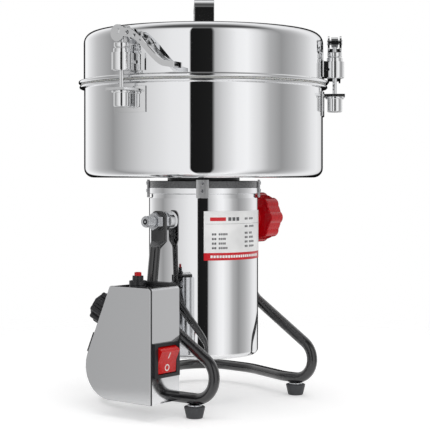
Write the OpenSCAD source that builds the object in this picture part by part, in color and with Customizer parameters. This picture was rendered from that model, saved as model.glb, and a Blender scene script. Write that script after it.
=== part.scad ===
// Electric grain mill: a tilting bowl and motor can on a bent tube stand.
// Millimetres, +Z up. The origin is on the floor under the mill's axis,
// +X is the lock knob's side and -Y is the front.

/* [Mill] */
// Outer diameter of the motor can
can_d = 130; // [120:1:136]
// Height of the motor can
can_h = 185; // [175:1:195]
// Distance from the can's top edge down to the tilt axis
pivot_drop = 26; // [22:1:32]
// Sheet thickness of the can, the bowl and the lid
sheet_t = 1.5; // [1:0.1:2]
// Outer diameter of the bowl
bowl_d = 284; // [270:1:290]
// Depth of the bowl, from its base to its rim
bowl_h = 105; // [95:1:115]
// Height of the lid's shell
lid_h = 61; // [55:1:70]

/* [Stand] */
// Height of the tilt axis above the floor
pivot_h = 215; // [210:1:230]
// Diameter of the bent tube
tube_d = 12.5; // [11:0.5:13]
// Height of the floor rails' centre line
rail_z = 21; // [19:0.5:24]
// Slope of the legs' front runs below level
run_angle = 33; // [30:1:36]
// Radius of the front bends
front_bend_r = 24; // [22:1:26]
// Distance from the mill's axis to the front bends' centre
front_bend_y = 68; // [60:1:72]
// Distance from the mill's axis to the back bar
back_y = 108; // [100:1:116]

/* [Clamps] */
// Distance from the bowl's wall to a clamp's rod
clamp_out = 14; // [13:0.5:16]
// Diameter of a clamp's rod
rod_d = 5; // [4:0.5:6]
// Length of a clamp's lever
lever_len = 76; // [70:1:84]
// Height of a clamp's lever pivot above the lid's seat
lever_rise = 50; // [49:1:54]

/* [Control box] */
// Width of the control box
box_w = 48.5; // [46:0.5:52]
// Height of the control box
box_h = 126; // [120:1:130]
// Depth of the control box along its top
box_top_d = 60; // [57:1:64]
// Angle between the box's sloped back and the upright
box_slope = 24; // [22:1:27]

/* [Fits] */
// Radial clearance of a running fit
run_fit = 0.05; // [0.02:0.01:0.08]
// Clearance between pieces that move past each other
gap = 0.3; // [0.2:0.05:0.4]

/* [Hidden] */
$fn = 96;
over = 1;
clamp_angles = [184, 304, 64];

// Heights up the mill
can_r = can_d / 2;
bowl_r = bowl_d / 2;
clamp_r = bowl_r + clamp_out;
cover_t = 12;
isolation_t = 8;
neck_t = 4;
rim_t = 3;
gasket_t = 1.7;
can_top = pivot_h + pivot_drop;
can_z = can_top - can_h;
isolation_z = can_top + cover_t;
neck_z = isolation_z + isolation_t;
bowl_z = neck_z + neck_t;
rim_z = bowl_z + bowl_h;
lid_z = rim_z + rim_t + gap + gasket_t;
lever_z = lid_z + lever_rise;

// Pivot pieces, along X
pivot_r = 6.2;
boss_r = 11;
boss_l = 7;
inner_nut_t = 6.2;
strap_t = 5;
strap_w = 20;
boss_out = can_r + boss_l;
strap_in = boss_out + inner_nut_t + gap;
strap_out = strap_in + strap_t;

function unit(v) = v / norm(v);

// Points of an outline whose corners are rounded to the given radii
function corner_arc(before, at, after, r, steps) =
    let (
        u = unit(before - at), v = unit(after - at),
        half = acos(u * v) / 2,
        centre = at + unit(u + v) * r / sin(half),
        from = at + u * r / tan(half) - centre,
        to = at + v * r / tan(half) - centre,
        first = atan2(from[1], from[0]),
        raw = atan2(to[1], to[0]) - first,
        sweep = raw > 180 ? raw - 360 : raw < -180 ? raw + 360 : raw
    )
    [for (i = [0:steps]) centre + r * [cos(first + sweep * i / steps), sin(first + sweep * i / steps)]];

function rounded(points, radii, steps = 8) =
    let (n = len(points))
    [for (i = [0:n - 1]) each radii[i] == 0 ? [points[i]]
        : corner_arc(points[(i + n - 1) % n], points[i], points[(i + 1) % n], radii[i], steps)];

// Places a child at a point, with its X and Z axes along two unit vectors
module framed(at, x, z) {
    y = cross(z, x);
    multmatrix([
        [x[0], y[0], z[0], at[0]],
        [x[1], y[1], z[1], at[1]],
        [x[2], y[2], z[2], at[2]],
        [0, 0, 0, 1]
    ]) children();
}

// Turns an upright shape to point along +X
module along_x(from, height = pivot_h)
    translate([from, 0, height]) rotate([0, 90, 0]) children();

// Extrudes an outline of (y, z) points along +X
module side_extrude(from, width)
    translate([from, 0, 0]) rotate([90, 0, 90]) linear_extrude(width) children();

module tube(outer, inner, height)
    difference() {
        cylinder(r = outer, h = height);
        translate([0, 0, -over]) cylinder(r = inner, h = height + 2 * over);
    }

// A solid cup with a rounded foot, standing on z = 0
module cup(r, h, corner)
    rotate_extrude() {
        square([r - corner, h]);
        translate([0, corner]) square([r, h - corner]);
        translate([r - corner, corner]) circle(corner);
    }

// A ring sector between two radii
module sector(inner, outer, from, sweep, height)
    rotate(from) rotate_extrude(angle = sweep)
        translate([inner, 0]) square([outer - inner, height]);

module hex(across, height)
    cylinder(d = across / cos(30), h = height, $fn = 6);

module mirrored_x() {
    children();
    mirror([1, 0, 0]) children();
}

// Stand tube: corner points from the right leg's top round to the left leg's
leg_top_step = 4;
leg_top_drop = 30;
leg_widen = 9;
front_narrow = 3;
splay_in_widen = 2;
splay_out_widen = 29.5;
back_widen = 33.5;
splay_lead = 18;
splay_run = 72;
leg_top = [strap_out + leg_top_step, 0, pivot_h - leg_top_drop];
leg_bend_x = leg_top[0] + leg_widen;
front_x = leg_bend_x - front_narrow;
splay_in = [front_x + splay_in_widen, splay_lead - front_bend_y];
splay_out = [front_x + splay_out_widen, splay_in[1] + splay_run];
back_x = front_x + back_widen;
front_reach = front_bend_y + front_bend_r * tan(90 - run_angle / 2);
right_corners = [
    leg_top,
    [leg_bend_x, 0, rail_z + front_reach * tan(run_angle)],
    [front_x, -front_reach, rail_z],
    [splay_in[0], splay_in[1], rail_z],
    [splay_out[0], splay_out[1], rail_z],
    [back_x, back_y, rail_z]
];
// The left rail runs straight back, under the control box
left_widen = 8.5;
last_shared = 2;
leg_corners = concat(right_corners, [[-front_x - left_widen, back_y, rail_z]],
    [for (i = [last_shared:-1:0]) [-right_corners[i][0], right_corners[i][1], right_corners[i][2]]]);
leg_bend_r = 22;
splay_in_r = 60;
splay_out_r = 90;
back_bend_r = 45;
left_back_r = 60;
right_radii = [0, leg_bend_r, front_bend_r, splay_in_r, splay_out_r, back_bend_r];
leg_radii = concat(right_radii, [left_back_r], [for (i = [last_shared:-1:0]) right_radii[i]]);
// A straight runs this far into a bend, which is this much thicker
seam = 1;
bend_swell = 0.1;
steep_share = 0.9;

function turn_at(i) =
    acos(unit(leg_corners[i] - leg_corners[i - 1]) * unit(leg_corners[i + 1] - leg_corners[i]));
function lead_at(i) = leg_radii[i] == 0 ? 0 : leg_radii[i] * tan(turn_at(i) / 2);

module leg_straight(i) {
    run = leg_corners[i + 1] - leg_corners[i];
    axis = unit(run);
    side = unit(cross(axis, abs(axis[0]) < steep_share ? [1, 0, 0] : [0, 1, 0]));
    from = lead_at(i) - (leg_radii[i] > 0 ? seam : 0);
    to = norm(run) - lead_at(i + 1) + (leg_radii[i + 1] > 0 ? seam : 0);
    framed(leg_corners[i] + axis * from, side, axis) cylinder(d = tube_d, h = to - from);
}

module leg_bend(i) {
    u = unit(leg_corners[i] - leg_corners[i - 1]);
    v = unit(leg_corners[i + 1] - leg_corners[i]);
    inward = unit(v - (u * v) * u);
    start = leg_corners[i] - u * lead_at(i);
    framed(start + inward * leg_radii[i], -inward, cross(-inward, u))
        rotate_extrude(angle = turn_at(i))
            translate([leg_radii[i], 0]) circle(d = tube_d + bend_swell);
}

// The flattened, joggled and drilled end of a leg
strap_rise = 12;
strap_corner = 8;
flare_h = 7;
flare_sink = 4;
flare_foot_share = 0.3;
flare_root_share = 0.4;

module strap() {
    flare_z = leg_top[2] - flare_sink;
    neck_z = leg_top[2] + flare_h;
    half = tube_d * flare_root_share;
    foot = tube_d * flare_foot_share;
    wide = strap_w / 2;
    intersection() {
        rotate([90, 0, 0]) translate([0, 0, -wide]) linear_extrude(strap_w)
            polygon([
                [leg_top[0] - foot, flare_z], [leg_top[0] + foot, flare_z],
                [leg_top[0] + half, leg_top[2]], [strap_out, neck_z],
                [strap_out, pivot_h + strap_rise], [strap_in, pivot_h + strap_rise],
                [strap_in, neck_z], [leg_top[0] - half, leg_top[2]]
            ]);
        side_extrude(strap_in - tube_d, 4 * tube_d)
            polygon(rounded([
                [-foot, flare_z], [foot, flare_z], [half, leg_top[2]], [wide, neck_z],
                [wide, pivot_h + strap_rise], [-wide, pivot_h + strap_rise],
                [-wide, neck_z], [-half, leg_top[2]]
            ], [0, 0, 0, 0, strap_corner, strap_corner, 0, 0]));
    }
}

module stand_tube()
    color([0.06, 0.06, 0.07])
    difference() {
        union() {
            for (i = [0:len(leg_corners) - 2]) leg_straight(i);
            for (i = [1:len(leg_corners) - 2]) leg_bend(i);
            mirrored_x() strap();
        }
        along_x(-strap_out - over) cylinder(r = pivot_r + run_fit, h = 2 * (strap_out + over));
    }

// Feet
foot_top_r = 12;
foot_base_r = 9;
foot_washer_r = 8;
foot_washer_t = 1.75;
foot_h = rail_z - tube_d / 2 - foot_washer_t;
foot_ahead = 16;
foot_out = 1.5;
foot_y = splay_in[1] - foot_ahead;
foot_x = splay_in[0] + foot_out;
rear_left_x = 30;
rear_right_x = 45;
foot_places = [[-foot_x, foot_y], [foot_x, foot_y], [-rear_left_x, back_y], [rear_right_x, back_y]];

module feet()
    color([0.16, 0.16, 0.17])
    for (at = foot_places) translate(at) cylinder(r1 = foot_base_r, r2 = foot_top_r, h = foot_h);

module foot_washers()
    color([0.75, 0.76, 0.78])
    for (at = foot_places) translate([at[0], at[1], foot_h])
        cylinder(r = foot_washer_r, h = foot_washer_t);

// Control box on the left leg
box_leg_gap = 0.25;
box_in = -leg_bend_x - tube_d / 2 - box_leg_gap;
box_out = box_in - box_w;
box_front = -49;
box_z = 19;
box_top = box_z + box_h;
box_sheet = 1.5;
box_back_r = 35;
box_edge_r = 3.5;
box_mid = (box_in + box_out) / 2;
rail_clear_z = rail_z + tube_d / 2 + gap;

// Depth of the sloped back at a height, moved inwards by an inset
function back_at(z, inset = 0) =
    box_front + box_top_d + (box_top - z) * tan(box_slope) - inset / cos(box_slope);

function box_outline(inset) = rounded([
    [box_front + inset, box_z + inset], [box_front + inset, box_top - inset],
    [back_at(box_top - inset, inset), box_top - inset],
    [back_at(box_z + inset, inset), box_z + inset]
], [0, box_edge_r - inset, box_edge_r - inset, box_back_r - inset]);

// Places a child on the sloped back at a height, with +Z outwards and +Y down the slope
module on_slope(z)
    translate([box_mid, back_at(z), z]) rotate([box_slope - 90, 0, 0]) children();

// Depth of the raised floor, up to the curve of the back
box_back_y = back_at(box_z) - box_back_r / tan(45 - box_slope / 2);
box_floor_d = box_back_y - box_front - box_sheet
    + sqrt(pow(box_back_r - box_sheet, 2) - pow(box_z + box_back_r - rail_clear_z - box_sheet, 2));

switch_inset = 23;
switch_rise = 47;
switch_x = box_in - switch_inset;
switch_z = box_z + switch_rise;
switch_w = 42;
switch_h = 38;
switch_hole_w = 36;
switch_hole_h = 34;
timer_drop = 35;
timer_z = box_top - timer_drop;
spindle_r = 3;
inlet_drop = 34;
inlet_z = timer_z - inlet_drop;
inlet_w = 31;
inlet_h = 24;
inlet_body_w = 27;
inlet_body_h = 19.5;
breaker_inset = 19.5;
breaker_back = 44;
breaker_at = [box_in - breaker_inset, box_front + breaker_back];
breaker_neck_r = 6.2;

module box_shell() {
    side_x = box_out + box_sheet + gap;
    color([0.82, 0.83, 0.85])
    difference() {
        union() {
            difference() {
                side_extrude(side_x, box_in - side_x) polygon(box_outline(0));
                side_extrude(side_x - over, box_in - box_sheet - side_x + over)
                    polygon(box_outline(box_sheet));
                translate([side_x - over, box_front + box_sheet, 0])
                    cube([box_w + over, 2 * box_top_d, rail_clear_z]);
            }
            translate([side_x, box_front + box_sheet, rail_clear_z])
                cube([box_in - side_x, box_floor_d, box_sheet]);
        }
        translate([switch_x - switch_hole_w / 2, box_front - over, switch_z - switch_hole_h / 2])
            cube([switch_hole_w, box_sheet + 2 * over, switch_hole_h]);
        on_slope(timer_z) translate([0, 0, -box_sheet - over])
            cylinder(r = spindle_r + gap, h = box_sheet + 2 * over);
        on_slope(inlet_z)
            translate([-inlet_body_w / 2 - gap, -inlet_body_h / 2 - gap, -box_sheet - over])
                cube([inlet_body_w + 2 * gap, inlet_body_h + 2 * gap, box_sheet + 2 * over]);
        translate([breaker_at[0], breaker_at[1], box_top - box_sheet - over])
            cylinder(r = breaker_neck_r + gap, h = box_sheet + 2 * over);
    }
}

lip_d = 6;

module box_cover()
    color([0.84, 0.85, 0.87]) {
        side_extrude(box_out, box_sheet) polygon(box_outline(0));
        difference() {
            side_extrude(box_out + box_sheet - over / 2, lip_d) polygon(box_outline(box_sheet + gap));
            side_extrude(box_out - over, lip_d + 2 * box_sheet + over)
                polygon(box_outline(2 * box_sheet + gap));
            translate([box_out + box_sheet, box_front, 0])
                cube([lip_d + over, 2 * box_top_d, rail_clear_z + box_sheet + gap]);
        }
    }

// Saddle that holds the box to the left leg
saddle_drop = 7;
saddle_z = box_top - saddle_drop;
saddle_h = 11;
saddle_wall = 2.2;
saddle_r = tube_d / 2 + saddle_wall;
screw_head_r = 3.6;
screw_head_h = 2;
screw_y = saddle_r + screw_head_r + gap;
saddle_w = 2 * (screw_y + screw_head_r);
saddle_plate = 2.5;
saddle_top_w = 12;
saddle_top_front = 42;
saddle_top_back = 9;
saddle_top_t = 3;

module box_clamp() {
    axis = unit(leg_corners[0] - leg_corners[1]);
    share = (saddle_z - leg_corners[1][2]) / (leg_corners[0][2] - leg_corners[1][2]);
    centre = leg_corners[1] + share * (leg_corners[0] - leg_corners[1]);
    color([0.1, 0.1, 0.11])
    mirror([1, 0, 0]) difference() {
        union() {
            framed(centre, unit(cross([0, 1, 0], axis)), axis)
                translate([0, 0, -saddle_h / 2]) cylinder(r = saddle_r, h = saddle_h);
            translate([-box_in - saddle_plate - gap, -saddle_w / 2, saddle_z - saddle_h / 2])
                cube([saddle_plate, saddle_w, box_top + gap + saddle_top_t - saddle_z + saddle_h / 2]);
            translate([-box_in - saddle_plate - gap, -saddle_top_front, box_top + gap])
                cube([saddle_top_w, saddle_top_front + saddle_top_back, saddle_top_t]);
        }
        framed(centre, unit(cross([0, 1, 0], axis)), axis)
            translate([0, 0, -saddle_h]) cylinder(d = tube_d + run_fit, h = 2 * saddle_h);
        translate([-box_in, -saddle_w, 0]) cube([saddle_w, 2 * saddle_w, box_top]);
    }
}

module box_screws()
    color([0.7, 0.7, 0.72])
    for (side = [-1, 1])
        translate([box_in + saddle_plate + gap, side * screw_y, saddle_z])
            rotate([0, 90, 0]) cylinder(r = screw_head_r, h = screw_head_h);

// Rocker switch
bezel_t = 2.5;
rocker_w = 30;
rocker_reach = 15;
rocker_hole_w = 30.6;
rocker_hole_h = 30.6;
rocker_lean = 14;
rocker_sink = 3;
rocker_pivot_y = box_front + rocker_sink;
rocker_nose_angle = 58;
rocker_heel_angle = 100;
rocker_arc_steps = 4;
rocker_waist = 5.5;
rocker_heel = 4;
rocker_heel_h = 6.4;
rocker_pin_r = 1.5;
rocker_pin_l = 1.8;
switch_body_d = 24;

module switch_frame()
    color([0.05, 0.05, 0.05])
    translate([switch_x, box_front, switch_z]) difference() {
        union() {
            translate([-switch_w / 2, -bezel_t, -switch_h / 2]) cube([switch_w, bezel_t, switch_h]);
            translate([-switch_hole_w / 2 + gap, -over, -switch_hole_h / 2 + gap])
                cube([switch_hole_w - 2 * gap, switch_body_d + over, switch_hole_h - 2 * gap]);
        }
        translate([-rocker_hole_w / 2, -bezel_t - over, -rocker_hole_h / 2])
            cube([rocker_hole_w, bezel_t + over + switch_body_d / 2, rocker_hole_h]);
        translate([-rocker_w / 2 - rocker_pin_l, rocker_pivot_y - box_front, 0]) rotate([0, 90, 0])
            cylinder(r = rocker_pin_r + run_fit, h = rocker_w + 2 * rocker_pin_l, $fn = 24);
    }

// Points of the rocker's arched end, from its nose to its heel
function rocker_arc(side) = [for (i = [0:rocker_arc_steps])
    let (a = rocker_nose_angle + (rocker_heel_angle - rocker_nose_angle) * i / rocker_arc_steps)
    [-rocker_reach * cos(a), side * rocker_reach * sin(a)]];

module rocker()
    color([0.86, 0.05, 0.05])
    translate([switch_x, rocker_pivot_y, switch_z]) rotate([rocker_lean, 0, 0]) {
        side_extrude(-rocker_w / 2, rocker_w)
            polygon(concat(rocker_arc(1), [[rocker_heel, rocker_heel_h], [rocker_heel, -rocker_heel_h]],
                [for (i = [rocker_arc_steps:-1:0]) rocker_arc(-1)[i]], [[-rocker_waist, 0]]));
        translate([-rocker_w / 2 - rocker_pin_l + run_fit, 0, 0]) rotate([0, 90, 0])
            cylinder(r = rocker_pin_r, h = rocker_w + 2 * (rocker_pin_l - run_fit), $fn = 24);
    }

// Timer, seen as a fluted knob on the sloped back
timer_body_w = 30;
timer_body_d = 20;
knob_skirt_r = 19.5;
knob_skirt_t = 3;
knob_grip_r = 15.5;
knob_grip_h = 19.5;
flute_r = 3.5;
flute_count = 10;
spindle_sink = 12;
pointer_w = 2;
pointer_t = 0.6;

module timer_body()
    color([0.2, 0.2, 0.22])
    on_slope(timer_z) difference() {
        translate([-timer_body_w / 2, -timer_body_w / 2, -box_sheet - timer_body_d])
            cube([timer_body_w, timer_body_w, timer_body_d]);
        translate([0, 0, -box_sheet - spindle_sink - gap])
            cylinder(r = spindle_r + run_fit, h = spindle_sink + gap + over);
    }

module timer_spindle()
    color([0.7, 0.7, 0.72])
    on_slope(timer_z) translate([0, 0, -box_sheet - spindle_sink])
        cylinder(r = spindle_r, h = box_sheet + spindle_sink + knob_skirt_t + knob_grip_h / 2);

module timer_knob()
    color([0.05, 0.05, 0.05])
    on_slope(timer_z) translate([0, 0, gap]) difference() {
        union() {
            cylinder(r = knob_skirt_r, h = knob_skirt_t);
            cylinder(r = knob_grip_r, h = knob_skirt_t + knob_grip_h);
            for (i = [0:flute_count - 1]) rotate(i * 360 / flute_count)
                translate([knob_grip_r, 0, 0])
                    cylinder(r = flute_r, h = knob_skirt_t + knob_grip_h - pointer_w, $fn = 24);
            translate([-pointer_w / 2, -knob_grip_r, knob_skirt_t + knob_grip_h - pointer_w])
                cube([pointer_w, knob_grip_r, pointer_w + pointer_t]);
        }
        translate([0, 0, -gap - over])
            cylinder(r = spindle_r + run_fit, h = over + gap + knob_skirt_t + knob_grip_h / 2);
    }

// Power inlet below the timer
inlet_flange_t = 9;
inlet_d = 18;
socket_w = 22;
socket_h = 14;
socket_d = 17;
socket_pin_r = 1.6;
socket_pin_l = 7;
socket_pin_pitch = 7;

module power_inlet()
    color([0.05, 0.05, 0.05])
    on_slope(inlet_z) difference() {
        union() {
            translate([-inlet_w / 2, -inlet_h / 2, 0]) cube([inlet_w, inlet_h, inlet_flange_t]);
            translate([-inlet_body_w / 2, -inlet_body_h / 2, -inlet_d])
                cube([inlet_body_w, inlet_body_h, inlet_d + over]);
        }
        translate([-socket_w / 2, -socket_h / 2, inlet_flange_t - socket_d])
            cube([socket_w, socket_h, socket_d + over]);
    }

module inlet_pins()
    color([0.8, 0.7, 0.4])
    on_slope(inlet_z) for (i = [-1:1])
        translate([i * socket_pin_pitch, 0, inlet_flange_t - socket_d])
            cylinder(r = socket_pin_r, h = socket_pin_l, $fn = 24);

// Circuit breaker with its reset button on the box's top
breaker_r = 9;
breaker_d = 22;
breaker_ring_r = 9.8;
breaker_ring_t = 5;
breaker_neck_h = 10.5;
button_r = 4;
button_h = 4;
button_sink = 5;
button_travel = 3;

module breaker_body()
    color([0.08, 0.08, 0.08])
    translate([breaker_at[0], breaker_at[1], box_top]) difference() {
        union() {
            translate([0, 0, -box_sheet - breaker_d]) cylinder(r = breaker_r, h = breaker_d);
            translate([0, 0, -box_sheet - over])
                cylinder(r = breaker_neck_r, h = box_sheet + over + breaker_neck_h);
            translate([0, 0, run_fit]) cylinder(r = breaker_ring_r, h = breaker_ring_t);
        }
        translate([0, 0, breaker_neck_h - button_sink - button_travel - gap])
            cylinder(r = button_r + run_fit, h = button_sink + button_travel + gap + over);
    }

module reset_button()
    color([0.8, 0.08, 0.08])
    translate([breaker_at[0], breaker_at[1], box_top + breaker_neck_h - button_sink])
        cylinder(r = button_r, h = button_sink + button_h);

// Motor can, its top cover and the stack that carries the bowl
can_corner = 6;
can_in = can_r - sheet_t;
slot_count = 16;
slot_w = 4;
slot_from = 24;
slot_l = 26;

module motor_can()
    color([0.82, 0.83, 0.85])
    translate([0, 0, can_z]) difference() {
        cup(can_r, can_h, can_corner);
        translate([0, 0, sheet_t]) cup(can_in, can_h, can_corner - sheet_t);
        for (i = [0:slot_count - 1]) rotate(i * 360 / slot_count)
            translate([slot_from, -slot_w / 2, -over]) cube([slot_l, slot_w, sheet_t + 2 * over]);
        translate([-can_r - over, 0, pivot_h - can_z]) rotate([0, 90, 0])
            cylinder(r = pivot_r + run_fit, h = 2 * (can_r + over));
    }

shaft_r = 6;
shaft_end_r = 5;
upper_bearing_r = 16;
lower_bearing_r = 11;
bearing_t = 9;
seat_fit = 0.02;
spigot_h = 6;
cover_groove_h = 5;
cover_groove_w = 3;
hub_r = 22;
shaft_bore = 9;

module top_cover()
    color([0.72, 0.73, 0.75])
    difference() {
        union() {
            translate([0, 0, can_top]) cylinder(r = can_r - cover_groove_w, h = cover_t);
            translate([0, 0, can_top + cover_groove_h]) cylinder(r = can_r, h = cover_t - cover_groove_h);
            translate([0, 0, can_top - spigot_h]) cylinder(r = can_in - seat_fit, h = spigot_h + over);
        }
        translate([0, 0, can_top - spigot_h - over]) difference() {
            cylinder(r = can_in - 2 * sheet_t, h = spigot_h + over);
            cylinder(r = hub_r, h = spigot_h + over);
        }
        translate([0, 0, can_top - spigot_h - over])
            cylinder(r = upper_bearing_r + seat_fit, h = over + bearing_t);
        translate([0, 0, can_top]) cylinder(r = shaft_bore, h = cover_t + over);
    }

isolation_inset = 0.5;
neck_r = 43;

module isolation_ring()
    color([0.09, 0.09, 0.1])
    translate([0, 0, isolation_z]) tube(can_r - isolation_inset, shaft_bore, isolation_t);

module neck_plate()
    color([0.2, 0.2, 0.21])
    translate([0, 0, neck_z]) tube(neck_r, shaft_bore, neck_t);

lug_angles = [38, 128, 218, 308];
lug_w = 14;
lug_h = 21;
lug_t = 2.5;
lug_rise = 0.5;
lug_screw_r = 2;
lug_screw_t = 1;
lug_foot = 8.5;
lug_edge = 4;
lug_span = 2 * asin(lug_w / 2 / can_r);

module cover_lugs()
    color([0.78, 0.79, 0.8])
    for (a = lug_angles) translate([0, 0, can_top + lug_rise])
        sector(can_r + run_fit, can_r + lug_t, a - lug_span / 2, lug_span, lug_h);

module lug_screws()
    color([0.6, 0.6, 0.62])
    for (a = lug_angles, z = [can_top + lug_foot, can_top + lug_rise + lug_h - lug_edge])
        translate([0, 0, z]) rotate([0, 90, a])
            translate([0, 0, can_r + lug_t]) cylinder(r = lug_screw_r, h = lug_screw_t);

label_from_angle = 219.3;
label_angle = 95.5;
label_drop = 45;
label_z = pivot_h - label_drop;
label_h = 56.5;
label_t = 0.4;
band_h = 8.7;

module label_plate()
    color([0.95, 0.95, 0.95])
    translate([0, 0, label_z + band_h])
        sector(can_r + run_fit, can_r + label_t, label_from_angle, label_angle, label_h - band_h);

module label_band()
    color([0.8, 0.05, 0.08])
    translate([0, 0, label_z])
        sector(can_r + run_fit, can_r + label_t, label_from_angle, label_angle, band_h);

// Pivot: bosses on the can, bolts, nuts and the lock knob
bolt_head_t = 5;
bolt_head_w = 17;
bolt_head_room = 1.5;
bolt_in = can_in - bolt_head_room - bolt_head_t;
bolt_proud = 13.2;
nut_w = 18;
nut_t = 8;
left_bolt_out = strap_out + gap + nut_t + bolt_proud;

module pivot_bosses()
    color([0.6, 0.6, 0.62])
    difference() {
        mirrored_x() along_x(can_r - over) difference() {
            cylinder(r = boss_r, h = boss_out - can_r + over);
            translate([0, 0, -over]) cylinder(r = pivot_r + run_fit, h = boss_out);
        }
        translate([0, 0, can_z]) cylinder(r = can_r + run_fit, h = can_h);
    }

module pivot_bolt(out) {
    along_x(bolt_in) hex(bolt_head_w, bolt_head_t);
    along_x(bolt_in + over) cylinder(r = pivot_r, h = out - bolt_in - over);
}

module pivot_bolts()
    color([0.66, 0.66, 0.68]) {
        pivot_bolt(right_bolt_out);
        mirror([1, 0, 0]) pivot_bolt(left_bolt_out);
    }

module nut(from, thick)
    along_x(from) difference() {
        hex(nut_w, thick);
        translate([0, 0, -over]) cylinder(r = pivot_r + run_fit, h = thick + 2 * over);
    }

module pivot_nuts()
    color([0.72, 0.72, 0.74]) {
        mirrored_x() nut(boss_out, inner_nut_t);
        mirror([1, 0, 0]) nut(strap_out + gap, nut_t);
    }

washer_r = 13;
washer_t = 1.5;

module pivot_washer()
    color([0.75, 0.76, 0.78])
    along_x(strap_out + gap) tube(washer_r, pivot_r + run_fit, washer_t);

knob_hub_from = strap_out + gap + washer_t + gap;
knob_hub_l = 10.4;
knob_back = knob_hub_from + knob_hub_l;
knob_hub_r = 13;
knob_body_r = 28.5;
knob_body_t = 24;
stud_short = 1;
right_bolt_out = knob_back + knob_body_t - stud_short;
knob_lobe_r = 8.5;
knob_lobe_at = 22.5;
knob_lobe_count = 8;
knob_cap_r = 23;
knob_cap_t = 6;
knob_cap_step = 3;
knob_seat = 9;
knob_bore_end = 3;
knob_bore_l = right_bolt_out + knob_bore_end - knob_hub_from;

module tilt_knob()
    color([0.8, 0.02, 0.04])
    difference() {
        union() {
            along_x(knob_hub_from) cylinder(r = knob_hub_r, h = knob_back - knob_hub_from + over);
            along_x(knob_back) linear_extrude(knob_body_t) {
                circle(knob_body_r);
                for (i = [0:knob_lobe_count - 1]) rotate(i * 360 / knob_lobe_count)
                    translate([knob_lobe_at, 0]) circle(knob_lobe_r);
            }
            along_x(knob_back + knob_body_t) {
                cylinder(r1 = knob_body_r - over, r2 = knob_cap_r, h = knob_cap_step);
                cylinder(r = knob_cap_r - over, h = knob_cap_t);
            }
        }
        along_x(knob_hub_from - over)
            cylinder(r = knob_seat + seat_fit, h = over + knob_bore_l);
    }

module knob_insert()
    color([0.8, 0.65, 0.3])
    along_x(knob_hub_from) tube(knob_seat, pivot_r + run_fit, knob_bore_l);

// Motor inside the can, from the fan upwards
fan_rise = 6;
fan_h = 11;
bridge_gap = 7;
bridge_t = 8;
commutator_gap = 6;
commutator_h = 18;
commutator_r = 16;
core_gap = 14;
core_drop = 33;
fan_z = can_z + fan_rise;
bridge_z = fan_z + fan_h + bridge_gap;
commutator_z = bridge_z + bridge_t + commutator_gap;
core_z = commutator_z + commutator_h + core_gap;
core_h = pivot_h - core_drop - core_z;
stator_bore = 31;
air_gap = 0.8;
pole_span = 104;
window_angle = 180 - pole_span;
yoke_t = 17.5;
pole_root = can_in - yoke_t;
armature_r = stator_bore - air_gap;
coil_span = 170;
winding_end = 10;
coil_gap = 1;

module stator_core()
    color([0.35, 0.35, 0.37])
    translate([0, 0, core_z]) difference() {
        tube(can_in - seat_fit, stator_bore, core_h);
        for (a = [90, 270]) translate([0, 0, -over])
            sector(stator_bore - over, pole_root, a - window_angle / 2, window_angle, core_h + 2 * over);
    }

module field_coils()
    color([0.72, 0.4, 0.15])
    for (a = [0, 180]) difference() {
        translate([0, 0, core_z - winding_end])
            sector(stator_bore + 2 * coil_gap, pole_root - coil_gap, a - coil_span / 2, coil_span,
                core_h + 2 * winding_end);
        translate([0, 0, core_z - coil_gap])
            sector(stator_bore, pole_root, a - pole_span / 2 - coil_gap, pole_span + 2 * coil_gap,
                core_h + 2 * coil_gap);
    }

bridge_hub_r = 17;
bridge_rim = 5;
bridge_arm_w = 14;

module lower_bridge()
    color([0.7, 0.7, 0.72])
    translate([0, 0, bridge_z]) difference() {
        union() {
            tube(can_in - seat_fit, can_in - bridge_rim, bridge_t);
            cylinder(r = bridge_hub_r, h = bridge_t);
            for (a = [0, 90]) rotate(a)
                translate([-can_in + bridge_rim / 2, -bridge_arm_w / 2, 0])
                    cube([2 * can_in - bridge_rim, bridge_arm_w, bridge_t]);
        }
        translate([0, 0, -over]) cylinder(r = lower_bearing_r + seat_fit, h = bridge_t + 2 * over);
    }

module bearings()
    color([0.6, 0.6, 0.63]) {
        translate([0, 0, bridge_z]) tube(lower_bearing_r, shaft_end_r + run_fit, bridge_t);
        translate([0, 0, can_top - spigot_h])
            tube(upper_bearing_r, shaft_r + run_fit, bearing_t);
    }

brush_z = commutator_z + commutator_h / 2;
brush_w = 8;
brush_h = 6;
brush_l = 22;
holder_wall = 2.5;
holder_from = 22;
holder_to = 46;

module brush_holders()
    color([0.75, 0.6, 0.25])
    for (a = [0, 180]) rotate(a) difference() {
        translate([holder_from, -brush_w / 2 - holder_wall, bridge_z + bridge_t])
            cube([holder_to - holder_from, brush_w + 2 * holder_wall,
                brush_z + brush_h / 2 + holder_wall - bridge_z - bridge_t]);
        translate([holder_from - over, -brush_w / 2 - run_fit, brush_z - brush_h / 2 - run_fit])
            cube([holder_to - holder_from - holder_wall + over, brush_w + 2 * run_fit,
                brush_h + 2 * run_fit]);
    }

module brushes()
    color([0.12, 0.12, 0.13])
    for (a = [0, 180]) rotate(a)
        translate([commutator_r + gap, -brush_w / 2, brush_z - brush_h / 2])
            cube([brush_l, brush_w, brush_h]);

// Turning parts, from the shaft's lower end to the blade nut
shaft_rise = 4;
shaft_step_drop = 4;
shaft_z = can_z + shaft_rise;
shaft_step_z = commutator_z - shaft_step_drop;
chamber_z = bowl_z + sheet_t;
seal_h = 11;
first_collar_h = 6;
blade_z = chamber_z + seal_h + first_collar_h;
blade_t = 3;
blade_step = 18;
blade_nut_w = 17;
blade_nut_h = 10;
shaft_proud = 3;
shaft_top = blade_z + 2 * blade_t + blade_step + blade_nut_h + shaft_proud;

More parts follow.
